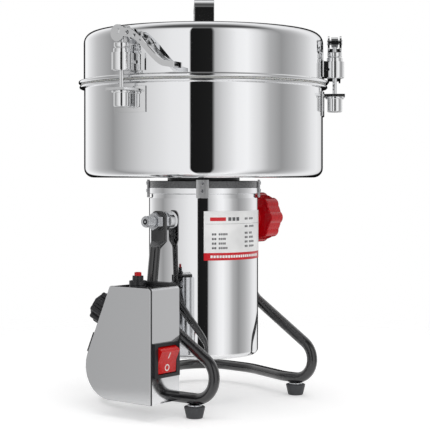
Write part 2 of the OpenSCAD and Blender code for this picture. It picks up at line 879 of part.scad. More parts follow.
module shaft()
    color([0.7, 0.7, 0.73]) {
        translate([0, 0, shaft_z]) cylinder(r = shaft_end_r, h = shaft_step_z - shaft_z);
        translate([0, 0, shaft_step_z]) cylinder(r = shaft_r, h = shaft_top - shaft_step_z);
    }

armature_slots = 12;
armature_slot_w = 3;
armature_slot_d = 6;

module armature_core()
    color([0.4, 0.4, 0.42])
    translate([0, 0, core_z]) difference() {
        tube(armature_r, shaft_r + seat_fit, core_h);
        for (i = [0:armature_slots - 1]) rotate(i * 360 / armature_slots)
            translate([armature_r - armature_slot_d, -armature_slot_w / 2, -over])
                cube([armature_slot_d + over, armature_slot_w, core_h + 2 * over]);
    }

winding_r = 24;

module armature_windings()
    color([0.75, 0.42, 0.16])
    for (z = [core_z - winding_end - over, core_z + core_h])
        translate([0, 0, z]) tube(winding_r, shaft_r + seat_fit, winding_end + over);

commutator_bars = 24;
bar_gap = 0.8;
bar_depth = 1.5;

module commutator()
    color([0.78, 0.48, 0.2])
    translate([0, 0, commutator_z]) difference() {
        tube(commutator_r, shaft_r + seat_fit, commutator_h);
        for (i = [0:commutator_bars - 1]) rotate(i * 360 / commutator_bars)
            translate([commutator_r - bar_depth, -bar_gap / 2, -over])
                cube([bar_depth + over, bar_gap, commutator_h + 2 * over]);
    }

fan_room = 11.5;
fan_r = can_in - fan_room;
fan_hub_r = 10;
fan_blades = 10;
fan_blade_t = 2;
fan_disc_t = 1.5;

module cooling_fan()
    color([0.75, 0.75, 0.77])
    translate([0, 0, fan_z]) difference() {
        union() {
            cylinder(r = fan_hub_r, h = fan_h);
            translate([0, 0, fan_h - fan_disc_t]) cylinder(r = fan_r, h = fan_disc_t);
            for (i = [0:fan_blades - 1]) rotate(i * 360 / fan_blades)
                translate([fan_hub_r - over, -fan_blade_t / 2, 0])
                    cube([fan_r - fan_hub_r - over, fan_blade_t, fan_h]);
        }
        translate([0, 0, -over]) cylinder(r = shaft_end_r + seat_fit, h = fan_h + 2 * over);
    }

// Bowl, with a seat for the seal, a rolled rim and three lower clamp brackets
bowl_corner = 11;
rim_w = 5.5;
rim_out = bowl_r + rim_w;
seal_r = 15;
seal_lip = 2;

module bowl()
    color([0.83, 0.84, 0.86]) {
        translate([0, 0, bowl_z]) difference() {
            cup(bowl_r, bowl_h + rim_t, bowl_corner);
            translate([0, 0, sheet_t]) cup(bowl_r - sheet_t, bowl_h + rim_t, bowl_corner - sheet_t);
            translate([0, 0, -over]) cylinder(r = seal_r + seat_fit, h = sheet_t + 2 * over);
        }
        translate([0, 0, rim_z]) rotate_extrude() {
            translate([bowl_r - sheet_t, 0]) square([rim_out - bowl_r + sheet_t - rim_t / 2, rim_t]);
            translate([rim_out - rim_t / 2, rim_t / 2]) circle(rim_t / 2);
        }
    }

module shaft_seal()
    color([0.12, 0.12, 0.13])
    translate([0, 0, bowl_z]) difference() {
        union() {
            cylinder(r = seal_r, h = sheet_t + over);
            translate([0, 0, sheet_t + run_fit]) cylinder(r = seal_r + seal_lip, h = seal_h - run_fit);
        }
        translate([0, 0, -over]) cylinder(r = shaft_r + run_fit, h = seal_h + sheet_t + 2 * over);
    }

bracket_span = 17.4;
bracket_t = 1.8;
bracket_low = 33;
bracket_high = 4;
shelf_drop = 9.5;
shelf_t = 3;
shelf_w = 26;
shelf_out = 12;
rod_r = rod_d / 2;
cup_r = 8.8;
cup_h = 18;
cup_flange_r = 11;
cup_flange_t = 2.5;
rod_room = 0.5;
shelf_z = rim_z - shelf_drop;

module lower_brackets()
    color([0.76, 0.77, 0.79])
    for (a = clamp_angles) {
        translate([0, 0, rim_z - bracket_low])
            sector(bowl_r + run_fit, bowl_r + bracket_t, a - bracket_span / 2, bracket_span,
                bracket_low - bracket_high);
        rotate(a) difference() {
            translate([bowl_r, -shelf_w / 2, shelf_z])
                cube([clamp_r + shelf_out - bowl_r, shelf_w, shelf_t]);
            translate([0, 0, rim_z - bracket_low - over])
                cylinder(r = bowl_r + run_fit, h = bracket_low + over);
            translate([clamp_r, 0, shelf_z - over])
                cylinder(r = rod_r + rod_room, h = shelf_t + 2 * over);
        }
    }

module latch_cups()
    color([0.7, 0.71, 0.73])
    for (a = clamp_angles) rotate(a) translate([clamp_r, 0, shelf_z - cup_h]) difference() {
        union() {
            cylinder(r = cup_r, h = cup_h);
            translate([0, 0, cup_h - cup_flange_t]) cylinder(r = cup_flange_r, h = cup_flange_t);
        }
        translate([0, 0, -over]) cylinder(r = rod_r + rod_room, h = cup_h + 2 * over);
    }

// Blades on the shaft
collar_r = 11;
blade_w = 24;
blade_root_w = 34;
lower_blade_l = 232;
upper_blade_l = 196;
blade_turn = 70;
blade_edge = 6;

module blade(length)
    difference() {
        linear_extrude(blade_t) polygon([
            [-length / 2, -blade_w / 2], [-blade_root_w, -blade_w / 2], [0, -blade_root_w / 2],
            [length / 2 - blade_edge, -blade_w / 2 + blade_edge], [length / 2, blade_w / 2],
            [blade_root_w, blade_w / 2], [0, blade_root_w / 2],
            [-length / 2 + blade_edge, blade_w / 2 - blade_edge]
        ]);
        translate([0, 0, -over]) cylinder(r = shaft_r + seat_fit, h = blade_t + 2 * over);
    }

module lower_blade()
    color([0.78, 0.79, 0.81])
    translate([0, 0, blade_z]) blade(lower_blade_l);

module upper_blade()
    color([0.78, 0.79, 0.81])
    translate([0, 0, blade_z + blade_t + blade_step]) rotate(blade_turn) blade(upper_blade_l);

module blade_collars()
    color([0.68, 0.69, 0.71]) {
        translate([0, 0, blade_z + blade_t]) tube(collar_r, shaft_r + seat_fit, blade_step);
        translate([0, 0, chamber_z + seal_h + gap])
            tube(collar_r, shaft_r + seat_fit, first_collar_h - gap);
    }

module blade_nut()
    color([0.7, 0.71, 0.73])
    translate([0, 0, shaft_top - shaft_proud - blade_nut_h]) difference() {
        hex(blade_nut_w, blade_nut_h);
        translate([0, 0, -over]) cylinder(r = shaft_r + seat_fit, h = blade_nut_h + 2 * over);
    }

// Lid, with a flared rim, a gasket and a strap handle
lid_ease = 0.5;
lid_rim_w = 6;
lid_r = bowl_r + lid_ease;
lid_rim_out = lid_r + lid_rim_w;
lid_rim_t = 4;
lid_corner = 13;
crown_h = 3;
crown_steps = 6;
lid_top = lid_z + lid_h;

// Points of the crown, from its edge to the middle, above a base height
function crown(r, base) =
    [for (i = [0:crown_steps]) let (out = 1 - i / crown_steps)
        [r * out, base + crown_h * (1 - pow(out, 2))]];

module lid_solid(r, h, corner, from) {
    translate([0, 0, h]) mirror([0, 0, 1]) cup(r, h - from, corner);
    rotate_extrude() polygon(concat([[0, h - corner]], [[r - corner, h - corner]], crown(r - corner, h)));
}

module lid_shell()
    color([0.83, 0.84, 0.86])
    translate([0, 0, lid_z]) {
        difference() {
            lid_solid(lid_r, lid_h, lid_corner, 0);
            translate([0, 0, -sheet_t]) lid_solid(lid_r - sheet_t, lid_h, lid_corner - sheet_t, -over);
        }
        rotate_extrude() {
            translate([lid_r - sheet_t, 0]) square([lid_rim_w + sheet_t - lid_rim_t / 2, lid_rim_t]);
            translate([lid_rim_out - lid_rim_t / 2, lid_rim_t / 2]) circle(lid_rim_t / 2);
        }
    }

gasket_inset = 3;

module lid_gasket()
    color([0.85, 0.85, 0.83])
    translate([0, 0, lid_z - gasket_t]) tube(lid_rim_out - gasket_inset, bowl_r - sheet_t, gasket_t);

handle_turn = 40;
handle_l = 112;
handle_h = 32;
handle_w = 23;
handle_t = 2.5;
handle_r = 13;
handle_edge = 3;
handle_foot = 18;
rivet_r = 4;
rivet_t = 2;
handle_z = lid_top + crown_h;

module arch(length, height, r)
    difference() {
        translate([-length / 2, 0]) square([length, height]);
        for (side = [-1, 1]) translate([side * length / 2, height]) difference() {
            square(2 * r, center = true);
            translate([-side * r, -r]) circle(r);
        }
    }

module handle_bar(thick)
    difference() {
        arch(handle_l, handle_h, handle_r);
        translate([0, -over]) arch(handle_l - 2 * thick, handle_h - thick + over, handle_r - thick);
    }

module lid_handle()
    color([0.7, 0.71, 0.73])
    translate([0, 0, handle_z]) rotate(handle_turn) {
        rotate([90, 0, 0]) translate([0, 0, -handle_w / 2]) linear_extrude(handle_w) handle_bar(handle_t);
        for (side = [-1, 1]) rotate([90, 0, 0])
            translate([0, 0, side * (handle_w - handle_edge) / 2 - handle_edge / 2])
                linear_extrude(handle_edge) handle_bar(2 * handle_t);
        for (side = [-1, 1]) translate([side * (handle_l / 2 + handle_foot / 2 - handle_t), 0, 0])
            translate([-handle_foot / 2, -handle_w / 2, 0]) cube([handle_foot, handle_w, handle_t]);
    }

// Wrap brackets on the lid, the rivets of its handle, and their screws
wrap_rise = 8;
wrap_z = lid_z + wrap_rise;
wrap_h = 19;
wrap_r = 11;
wrap_neck_w = 16;
barrel_r = 9.2;
barrel_rise = 7;
barrel_z = lid_z + barrel_rise;
barrel_h = 25;
wrap_plate_span = 17;
wrap_screw_r = 2.1;
wrap_screw_l = 1.6;
wrap_screw_in = 8.4;
cam_r = 9.3;
cam_throw = 2;
cam_gap = 0.55;
cap_t = lever_z - barrel_z - barrel_h - cam_r - cam_throw - cam_gap;
cap_r = 8.5;

module lid_fittings()
    color([0.74, 0.75, 0.77]) {
        for (a = clamp_angles) {
            translate([0, 0, wrap_z])
                sector(lid_r + run_fit, lid_r + bracket_t, a - wrap_plate_span / 2, wrap_plate_span, wrap_h);
            rotate(a) translate([clamp_r, 0, wrap_z]) difference() {
                union() {
                    cylinder(r = wrap_r, h = wrap_h);
                    translate([lid_r + bracket_t / 2 - clamp_r, -wrap_neck_w / 2, 0])
                        cube([clamp_r - lid_r - bracket_t / 2, wrap_neck_w, wrap_h]);
                    translate([-wrap_screw_in, 0, wrap_h / 2]) rotate([90, 0, 0])
                        cylinder(r = wrap_screw_r, h = wrap_neck_w + 2 * wrap_screw_l, center = true);
                }
                translate([0, 0, -over]) cylinder(r = barrel_r + seat_fit, h = wrap_h + 2 * over);
            }
        }
        for (side = [-1, 1]) rotate(handle_turn)
            translate([side * (handle_l / 2 + handle_foot / 2 - handle_t / 2), 0, handle_z + handle_t])
                cylinder(r = rivet_r, h = rivet_t);
    }

module clamp_barrels()
    color([0.8, 0.81, 0.83])
    for (a = clamp_angles) rotate(a) translate([clamp_r, 0, 0]) difference() {
        union() {
            translate([0, 0, barrel_z]) cylinder(r = barrel_r, h = barrel_h);
            translate([0, 0, barrel_z + barrel_h]) cylinder(r = cap_r, h = cap_t);
        }
        translate([0, 0, barrel_z - over]) cylinder(r = rod_r + run_fit, h = barrel_h + cap_t + 2 * over);
    }

// Clamp rods, with an eye for the lever's pin
eye_r = 6;
eye_w = 8;
pin_r = 3;
rod_end_up = 3;
rod_end_z = shelf_z - cup_h + rod_end_up;

module clamp_rod(a)
    color([0.72, 0.73, 0.75])
    rotate(a) translate([clamp_r, 0, 0]) difference() {
        union() {
            translate([0, 0, rod_end_z]) cylinder(r = rod_r, h = lever_z - rod_end_z);
            translate([-eye_w / 2, 0, lever_z]) rotate([0, 90, 0]) cylinder(r = eye_r, h = eye_w);
        }
        translate([-eye_w, 0, lever_z]) rotate([0, 90, 0])
            cylinder(r = pin_r + run_fit, h = 2 * eye_w);
    }

// Clamp levers: two cheeks joined by a web, with a cam head and a forked tip
cheek_t = 2;
lever_w = 16;
lever_drop = 40;
web_t = 1.8;
web_from_share = 0.22;
web_to_share = 0.86;
lever_steps = 16;
lever_root_w = 10.5;
lever_tip_w = 6;
hole_shares = [0.18, 0.31, 0.41];
hole_radii = [2.4, 2, 1.6];
lever_lead_share = 0.3;
bend_from_share = 0.2;
bend_share = 0.65;

// Centre line of the lever, an S-curve from the pivot to the tip
function bend_at(s) =
    let (t = min(max((s - bend_from_share) / bend_share, 0), 1)) 3 * t * t - 2 * t * t * t;
function lever_at(s) =
    [lever_len * s, -lever_drop * (bend_at(s) * (1 - lever_lead_share) + lever_lead_share * s)];
function lever_half(s) = (lever_root_w + (lever_tip_w - lever_root_w) * s) / 2;
function lever_side(s, side, inset = 0) = lever_at(s) + [0, side * (lever_half(s) - inset)];
function web_share(i) = web_from_share + (web_to_share - web_from_share) * i / lever_steps;

module cheek_outline()
    difference() {
        union() {
            polygon(concat(
                [for (i = [0:lever_steps]) lever_side(i / lever_steps, 1)],
                [for (i = [0:lever_steps]) lever_side(1 - i / lever_steps, -1)]));
            translate([0, -cam_throw]) circle(cam_r);
        }
        for (i = [0:len(hole_shares) - 1])
            translate(lever_at(hole_shares[i])) circle(hole_radii[i], $fn = 32);
    }

module clamp_lever(a)
    color([0.8, 0.81, 0.83])
    rotate(a) translate([clamp_r, 0, lever_z]) {
        for (side = [-1, 1]) side_extrude(side * (lever_w - cheek_t) / 2 - cheek_t / 2, cheek_t)
            cheek_outline();
        side_extrude(-lever_w / 2 + over, lever_w - 2 * over)
            polygon(concat(
                [for (i = [0:lever_steps]) lever_side(web_share(i), -1)],
                [for (i = [0:lever_steps]) lever_side(web_share(lever_steps - i), -1, web_t)]));
        translate([-lever_w / 2 - over, 0, 0]) rotate([0, 90, 0])
            cylinder(r = pin_r, h = lever_w + 2 * over, $fn = 32);
    }

module clamp_rod_1() clamp_rod(clamp_angles[0]);
module clamp_rod_2() clamp_rod(clamp_angles[1]);
module clamp_rod_3() clamp_rod(clamp_angles[2]);
module clamp_lever_1() clamp_lever(clamp_angles[0]);
module clamp_lever_2() clamp_lever(clamp_angles[1]);
module clamp_lever_3() clamp_lever(clamp_angles[2]);

stand_tube();
feet();
foot_washers();
box_shell();
box_cover();
box_clamp();
box_screws();
switch_frame();
rocker();
timer_body();
timer_spindle();
timer_knob();
power_inlet();
inlet_pins();
breaker_body();
reset_button();
motor_can();
top_cover();
isolation_ring();
neck_plate();
cover_lugs();
lug_screws();
label_plate();
label_band();
pivot_bosses();
pivot_bolts();
pivot_nuts();
pivot_washer();
tilt_knob();
knob_insert();
stator_core();
field_coils();
lower_bridge();
bearings();
brush_holders();
brushes();
shaft();
armature_core();
armature_windings();
commutator();
cooling_fan();
bowl();
shaft_seal();
lower_brackets();
latch_cups();
blade_collars();
lower_blade();
upper_blade();
blade_nut();
lid_shell();
lid_gasket();
lid_handle();
lid_fittings();
clamp_barrels();
clamp_rod_1();
clamp_rod_2();
clamp_rod_3();
clamp_lever_1();
clamp_lever_2();
clamp_lever_3();
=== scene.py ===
# %% [markdown]
# # An electric grain mill
#
# The mill is a polished steel bowl with a lid, on a round motor can that tilts between the
# legs of a bent black tube stand. A folded steel box on the left leg holds the switch, the
# timer and the power inlet. The solids of every part are loaded first, in metres, in one
# shared frame: +Z is up, the origin is on the floor under the bowl, and the lock knob is
# on the +X side. Each later cell gives one part its surface, or models it more finely.

# %% Load the solids of the mill
from math import cos, pi, radians, sin, tan

import bmesh
import bpy
from mathutils import Matrix, Vector


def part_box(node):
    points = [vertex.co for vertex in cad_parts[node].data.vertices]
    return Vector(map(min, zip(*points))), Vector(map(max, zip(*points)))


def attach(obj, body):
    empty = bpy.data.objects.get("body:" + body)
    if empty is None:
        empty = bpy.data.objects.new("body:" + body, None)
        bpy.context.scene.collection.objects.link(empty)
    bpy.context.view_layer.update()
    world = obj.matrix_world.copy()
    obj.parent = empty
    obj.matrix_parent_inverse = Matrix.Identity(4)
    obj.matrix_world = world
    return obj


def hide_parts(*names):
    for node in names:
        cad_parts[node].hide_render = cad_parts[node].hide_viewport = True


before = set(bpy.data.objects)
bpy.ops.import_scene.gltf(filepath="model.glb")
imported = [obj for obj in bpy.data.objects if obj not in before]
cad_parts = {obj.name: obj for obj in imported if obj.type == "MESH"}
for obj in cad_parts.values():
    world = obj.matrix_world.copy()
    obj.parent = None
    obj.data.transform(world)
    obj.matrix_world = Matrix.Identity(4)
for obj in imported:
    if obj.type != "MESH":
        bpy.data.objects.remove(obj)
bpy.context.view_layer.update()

MM = 0.001

# %% [markdown]
# ## The camera
#
# The photograph was taken level with the bowl's foot, from the front left. A level camera
# keeps upright lines parallel, and a small vertical shift moves the frame down without
# tilting it, as a studio photographer does with a shift lens.

# %% Place the camera
CAMERA_TURN = -51.5
CAMERA_AT = (-1.1877, -0.9646, 0.268)
LENS = 107.2
SHIFT_DOWN = 0.093
SHIFT_SIDE = -0.0037

camera_data = bpy.data.cameras.new("studio_camera")
camera = bpy.data.objects.new("studio_camera", camera_data)
bpy.context.scene.collection.objects.link(camera)
camera.location = CAMERA_AT
camera.rotation_euler = (radians(90), 0, radians(CAMERA_TURN))
camera_data.lens = LENS
camera_data.sensor_width = 36
camera_data.shift_y = -SHIFT_DOWN
camera_data.shift_x = SHIFT_SIDE
bpy.context.scene.camera = camera
bpy.context.scene.view_settings.view_transform = "Standard"
print("camera", round(Vector(CAMERA_AT).length, 2), "m from the mill's foot")

# %% [markdown]
# ## Building a material from nodes
#
# Every finish here is a Principled shader with a little unevenness. Noise is read at the
# object's own coordinates, so it stays put when a part moves. One helper makes the shader
# and sets its steady values on its own sockets; two more lay an uneven roughness and a
# fine relief over it. Each finish then only says what is special about it.

# %% Helpers for materials
def with_values(node, values):
    """Set a node's sockets, by name, or by number after an underscore."""
    for socket, value in values.items():
        key = int(socket[1:]) if socket[0] == "_" else socket.replace("_", " ")
        node.inputs[key].default_value = value
    return node


def finish(name, colour, **values):
    """A new material with one Principled shader."""
    material = bpy.data.materials.new(name)
    material.use_nodes = True
    material.diffuse_color = (*colour, 1)
    shader = material.node_tree.nodes["Principled BSDF"]
    with_values(shader, {"Base Color": (*colour, 1), **values})
    return material


def add(material, kind, **values):
    """A new node in a material, with values for its sockets."""
    return with_values(material.node_tree.nodes.new(kind), values)


def join(material, source, target, out=0):
    """Link an output of a node, by number or name, to a socket."""
    material.node_tree.links.new(source.outputs[out], target)


def noise_at(material, scale, stretch=(1, 1, 1), detail=3):
    """Noise in object space, stretched along an axis where its factor is small."""
    place = add(material, "ShaderNodeTexCoord")
    mapping = add(material, "ShaderNodeMapping", Scale=stretch)
    noise = add(material, "ShaderNodeTexNoise", Scale=scale, Detail=detail)
    join(material, place, mapping.inputs["Vector"], "Object")
    join(material, mapping, noise.inputs["Vector"])
    return noise


def shader_of(material):
    """The Principled shader of a material."""
    return material.node_tree.nodes["Principled BSDF"]


def uneven(material, socket, noise, low, high):
    """Let noise move one socket of the shader between two values."""
    spread = add(material, "ShaderNodeMapRange", From_Min=0.3, From_Max=0.7, To_Min=low, To_Max=high)
    join(material, noise, spread.inputs["Value"])
    join(material, spread, shader_of(material).inputs[socket])


def relief(material, noise, depth, strength=0.3):
    """Turn noise into a fine relief of a given depth in metres."""
    bump = add(material, "ShaderNodeBump", Strength=strength, Distance=depth)
    join(material, noise, bump.inputs["Height"])
    join(material, bump, shader_of(material).inputs["Normal"])


def tinted(material, noise, dark, light):
    """Let noise move the colour between two tones."""
    ramp = add(material, "ShaderNodeValToRGB")
    ramp.color_ramp.elements[0].position = 0.3
    ramp.color_ramp.elements[0].color = (*dark, 1)
    ramp.color_ramp.elements[1].position = 0.7
    ramp.color_ramp.elements[1].color = (*light, 1)
    join(material, noise, ramp.inputs["Fac"])
    join(material, ramp, shader_of(material).inputs["Base Color"])


def metal(name, colour, rough, scale=60, stretch=(1, 1, 1), depth=0.00002, strength=0.1):
    """Bare metal: a tone, a range of roughness and a fine grain."""
    material = finish(name, colour, Metallic=1.0)
    grain = noise_at(material, scale, stretch)
    uneven(material, "Roughness", grain, *rough)
    if strength:
        relief(material, grain, depth, strength)
    return material


def moulded(name, colour, rough, scale=400, depth=0.00004, strength=0.25, **values):
    """Plastic or rubber: a tone that varies a little, and a fine moulded grain."""
    material = finish(name, colour, **values)
    grain = noise_at(material, scale)
    uneven(material, "Roughness", grain, *rough)
    tone = noise_at(material, 35, detail=2)
    tinted(material, tone, [c * 0.88 for c in colour], [min(c * 1.1, 1) for c in colour])
    relief(material, grain, depth, strength)
    return material


print("material helpers ready")

# %% [markdown]
# ## The finishes
#
# The bowl, lid and can are drawn sheet, polished to a mirror, so their roughness is low and
# nearly even. Brackets, levers and the handle are polished a little less. The blades are
# brushed, and bosses and collars are tumbled, which blurs what they mirror. Screws and nuts
# are zinc plated. The tube is lacquered: black under a clear coat, and its gloss varies a
# little. Plastics have a moulded grain.

# %% Steel and other metals
mirror_steel = metal("mirror_steel", (0.84, 0.845, 0.855), (0.02, 0.05), scale=18, depth=0.00001,
                     strength=0.02)
folded_steel = metal("folded_steel", (0.80, 0.805, 0.815), (0.06, 0.13), scale=25, stretch=(1, 1, 8),
                     strength=0.03)
brushed_steel = metal("brushed_steel", (0.70, 0.705, 0.71), (0.16, 0.30), scale=220,
                      stretch=(0.08, 0.08, 1.5))
tumbled_steel = metal("tumbled_steel", (0.74, 0.745, 0.75), (0.10, 0.22), scale=140)
zinc = metal("zinc", (0.66, 0.67, 0.69), (0.18, 0.34), scale=160)
cast_alloy = metal("cast_alloy", (0.55, 0.56, 0.57), (0.34, 0.5), scale=300, depth=0.00006, strength=0.3)
brass = metal("brass", (0.78, 0.57, 0.24), (0.18, 0.32), scale=140)
copper = metal("copper", (0.72, 0.32, 0.16), (0.22, 0.4), scale=500, stretch=(1, 1, 0.15), depth=0.0001,
               strength=0.4)
lamination = metal("lamination", (0.33, 0.33, 0.35), (0.4, 0.55), scale=900, stretch=(0.02, 0.02, 1),
                   depth=0.0001, strength=0.5)
pale_steel = metal("pale_steel", (0.72, 0.725, 0.73), (0.32, 0.42), scale=260, stretch=(1, 1, 0.1))
polished_strap = metal("polished_strap", (0.82, 0.825, 0.83), (0.05, 0.10), scale=60, strength=0.04)
print("metals made")

# %% Lacquer, plastics and rubber
black_lacquer = finish("black_lacquer", (0.009, 0.009, 0.010), Coat_Weight=0.9, Coat_Roughness=0.05)
peel = noise_at(black_lacquer, 30, detail=1)
uneven(black_lacquer, "Roughness", peel, 0.2, 0.28)

black_plastic = moulded("black_plastic", (0.016, 0.016, 0.018), (0.28, 0.42))
satin_black = moulded("satin_black", (0.022, 0.022, 0.024), (0.34, 0.5))
ring_grey = moulded("ring_grey", (0.12, 0.122, 0.125), (0.22, 0.34), strength=0.06)
foot_rubber = moulded("foot_rubber", (0.05, 0.052, 0.056), (0.5, 0.66), scale=260, strength=0.35)
# Dark rubber for the shaft seal; the same finish also paints the shade in the box's seam.
seal_rubber = moulded("seal_rubber", (0.02, 0.02, 0.022), (0.45, 0.6))
silicone = moulded("silicone", (0.62, 0.61, 0.58), (0.38, 0.5), Subsurface_Weight=0.05)
knob_red = moulded("knob_red", (0.56, 0.001, 0.006), (0.2, 0.3), strength=0.06, Coat_Weight=0.15,
                   Coat_Roughness=0.1, Specular_IOR_Level=0.3)
# The rocker's weak red emission is a painted glow: the switch holds no lamp.
rocker_red_painted_glow = moulded("rocker_red_painted_glow", (0.50, 0.002, 0.002), (0.2, 0.3), strength=0.06, Coat_Weight=0.2,
                     Emission_Color=(0.8, 0.005, 0.005, 1), Emission_Strength=0.05, Specular_IOR_Level=0.35)
mark_white = moulded("mark_white", (0.82, 0.82, 0.80), (0.35, 0.45), strength=0.05)
label_white = moulded("label_white", (0.88, 0.88, 0.875), (0.3, 0.42), scale=90, strength=0.04)
label_red = moulded("label_red", (0.60, 0.006, 0.015), (0.28, 0.38), scale=90, strength=0.04)
label_ink = moulded("label_ink", (0.10, 0.10, 0.105), (0.4, 0.5), strength=0.04)
carbon = moulded("carbon", (0.03, 0.03, 0.032), (0.45, 0.6))
print("lacquer, plastics and rubber made")

# %% [markdown]
# ## The studio
#
# A mirror shows its surroundings, so polished steel needs a room to mirror. The world is
# that room: pale walls that get darker towards the sides, a dark wall behind the mill, and
# a black card round the camera, which draws the crisp dark stripe down the bowl and the can.
# The tones follow the direction round the mill, in degrees from the camera. Overhead a
# second row of tones takes over, from the camera's side to the far side. Rays from the
# camera see plain white instead.

# %% The room that the steel mirrors
BEARING = radians(90 + CAMERA_TURN)
TO_CAMERA = (-cos(BEARING), -sin(BEARING), 0)
TO_RIGHT = (sin(BEARING), -cos(BEARING), 0)
ROOM_TONES = [
    (-180, 0.006), (-158, 0.006), (-155, 1.0), (-148, 1.02), (-120, 0.58), (-94, 0.34), (-75, 0.53),
    (-57, 0.74), (-30, 0.93), (-12.2, 0.97), (-11.5, 0.010), (9.5, 0.014), (10.3, 0.50), (18, 0.70),
    (32, 1.0), (42, 1.05), (55, 0.80), (65, 0.50), (79, 0.34), (97, 0.50), (112, 0.69), (125, 0.88),
    (138, 0.96), (150, 0.86), (155, 0.80), (158, 0.006), (180, 0.006),
]

world = bpy.data.worlds.new("studio")
bpy.context.scene.world = world
world.use_nodes = True
nodes, links = world.node_tree.nodes, world.node_tree.links
nodes.clear()


def world_node(kind, operation=None, **values):
    """A new node in the world, with its operation and values for its sockets."""
    node = nodes.new(kind)
    if operation:
        node.operation = operation
    return with_values(node, values)


direction = world_node("ShaderNodeTexCoord")
ahead = world_node("ShaderNodeVectorMath", "DOT_PRODUCT", _1=TO_CAMERA)
aside = world_node("ShaderNodeVectorMath", "DOT_PRODUCT", _1=TO_RIGHT)
turn = world_node("ShaderNodeMath", "ARCTAN2")
share = world_node("ShaderNodeMath", "MULTIPLY_ADD", _1=1 / (2 * pi), _2=0.5)
tones = world_node("ShaderNodeValToRGB")
for dot in (ahead, aside):
    links.new(direction.outputs["Generated"], dot.inputs[0])
links.new(aside.outputs["Value"], turn.inputs[0])
links.new(ahead.outputs["Value"], turn.inputs[1])
links.new(turn.outputs[0], share.inputs[0])
links.new(share.outputs[0], tones.inputs["Fac"])
ramp = tones.color_ramp
while len(ramp.elements) < len(ROOM_TONES):
    ramp.elements.new(0.5)
for stop, (angle, tone) in zip(ramp.elements, ROOM_TONES):
    stop.position = (angle + 180) / 360
    stop.color = (tone, tone, tone * 1.005, 1)
print("room with", len(ROOM_TONES), "tones")

# %% Overhead tones and the white that the camera sees
SKY_TONES = [
    (0, 0.5), (45, 0.30), (56, 0.08), (78, 0.10), (92, 0.45), (108, 0.9), (125, 1.0), (150, 0.8), (180, 0.3),
]
height = world_node("ShaderNodeSeparateXYZ")
upward = world_node("ShaderNodeMapRange", From_Min=0.60, From_Max=0.80)
rise = world_node("ShaderNodeMath", "ARCTAN2")
rise_share = world_node("ShaderNodeMath", "MULTIPLY", _1=1 / pi)
sky = world_node("ShaderNodeValToRGB")
while len(sky.color_ramp.elements) < len(SKY_TONES):
    sky.color_ramp.elements.new(0.5)
for stop, (angle, tone) in zip(sky.color_ramp.elements, SKY_TONES):
    stop.position = angle / 180
    stop.color = (tone, tone, tone * 1.005, 1)
blend_up = nodes.new("ShaderNodeMix")
blend_up.data_type = "RGBA"
room = world_node("ShaderNodeBackground", Strength=1.0)
plain = world_node("ShaderNodeBackground", Color=(1, 1, 1, 1), Strength=1.0)
ray = world_node("ShaderNodeLightPath")
choose = nodes.new("ShaderNodeMixShader")
result = nodes.new("ShaderNodeOutputWorld")
links.new(direction.outputs["Generated"], height.inputs[0])
links.new(height.outputs["Z"], upward.inputs["Value"])
links.new(height.outputs["Z"], rise.inputs[0])
links.new(ahead.outputs["Value"], rise.inputs[1])
links.new(rise.outputs[0], rise_share.inputs[0])
links.new(rise_share.outputs[0], sky.inputs["Fac"])
links.new(upward.outputs["Result"], blend_up.inputs["Factor"])
links.new(tones.outputs["Color"], blend_up.inputs["A"])
links.new(sky.outputs["Color"], blend_up.inputs["B"])
links.new(blend_up.outputs["Result"], room.inputs["Color"])
links.new(ray.outputs["Is Camera Ray"], choose.inputs["Fac"])
links.new(room.outputs[0], choose.inputs[1])
links.new(plain.outputs[0], choose.inputs[2])
links.new(choose.outputs[0], result.inputs["Surface"])
print("world ready")

# %% [markdown]
# ## The lamps and the floor
#
# One large lamp overhead gives the soft shadow under the feet, and a smaller one in front
# lights the label and the plastics. Neither shows in the steel, which mirrors the room
# alone. The floor is a pale disc that fades out, so that no horizon shows, and it fades
# sooner in the steel. It keeps the shadow, and adds just enough of its own white to match
# the background where the camera or a mirror sees it.

# %% Lamps
def soft_lamp(name, place, towards, size, power):
    """A rectangular lamp, its size in metres and its power in watts, that faces a point."""
    data = bpy.data.lights.new(name, "AREA")
    data.shape = "RECTANGLE"
    data.size, data.size_y = size
    data.energy = power
    lamp = bpy.data.objects.new(name, data)
    bpy.context.scene.collection.objects.link(lamp)
    lamp.location = place
    lamp.rotation_euler = (Vector(towards) - Vector(place)).to_track_quat("-Z", "Y").to_euler()
    return lamp


overhead = soft_lamp("overhead", (-0.2, -0.1, 1.7), (0, 0, 0.1), (1.6, 1.6), 16)
overhead.visible_glossy = False
front = soft_lamp("front", (-0.95, -1.3, 0.75), (0, 0, 0.2), (0.9, 0.9), 7)
front.visible_glossy = False

# %% Floor
FLOOR_R = 0.95

floor_bm = bmesh.new()
bmesh.ops.create_circle(floor_bm, cap_ends=True, segments=96, radius=FLOOR_R)
floor_mesh = bpy.data.meshes.new("floor")
floor_bm.to_mesh(floor_mesh)
floor_bm.free()
floor = bpy.data.objects.new("floor", floor_mesh)
bpy.context.scene.collection.objects.link(floor)
floor.location = (0, 0, -0.0002)
print("floor", FLOOR_R, "m in radius")

# %% The floor's finish
FADE_FROM = 0.42
MIRROR_FADE = (0.12, 0.32)
FLOOR_GLOW = 0.34

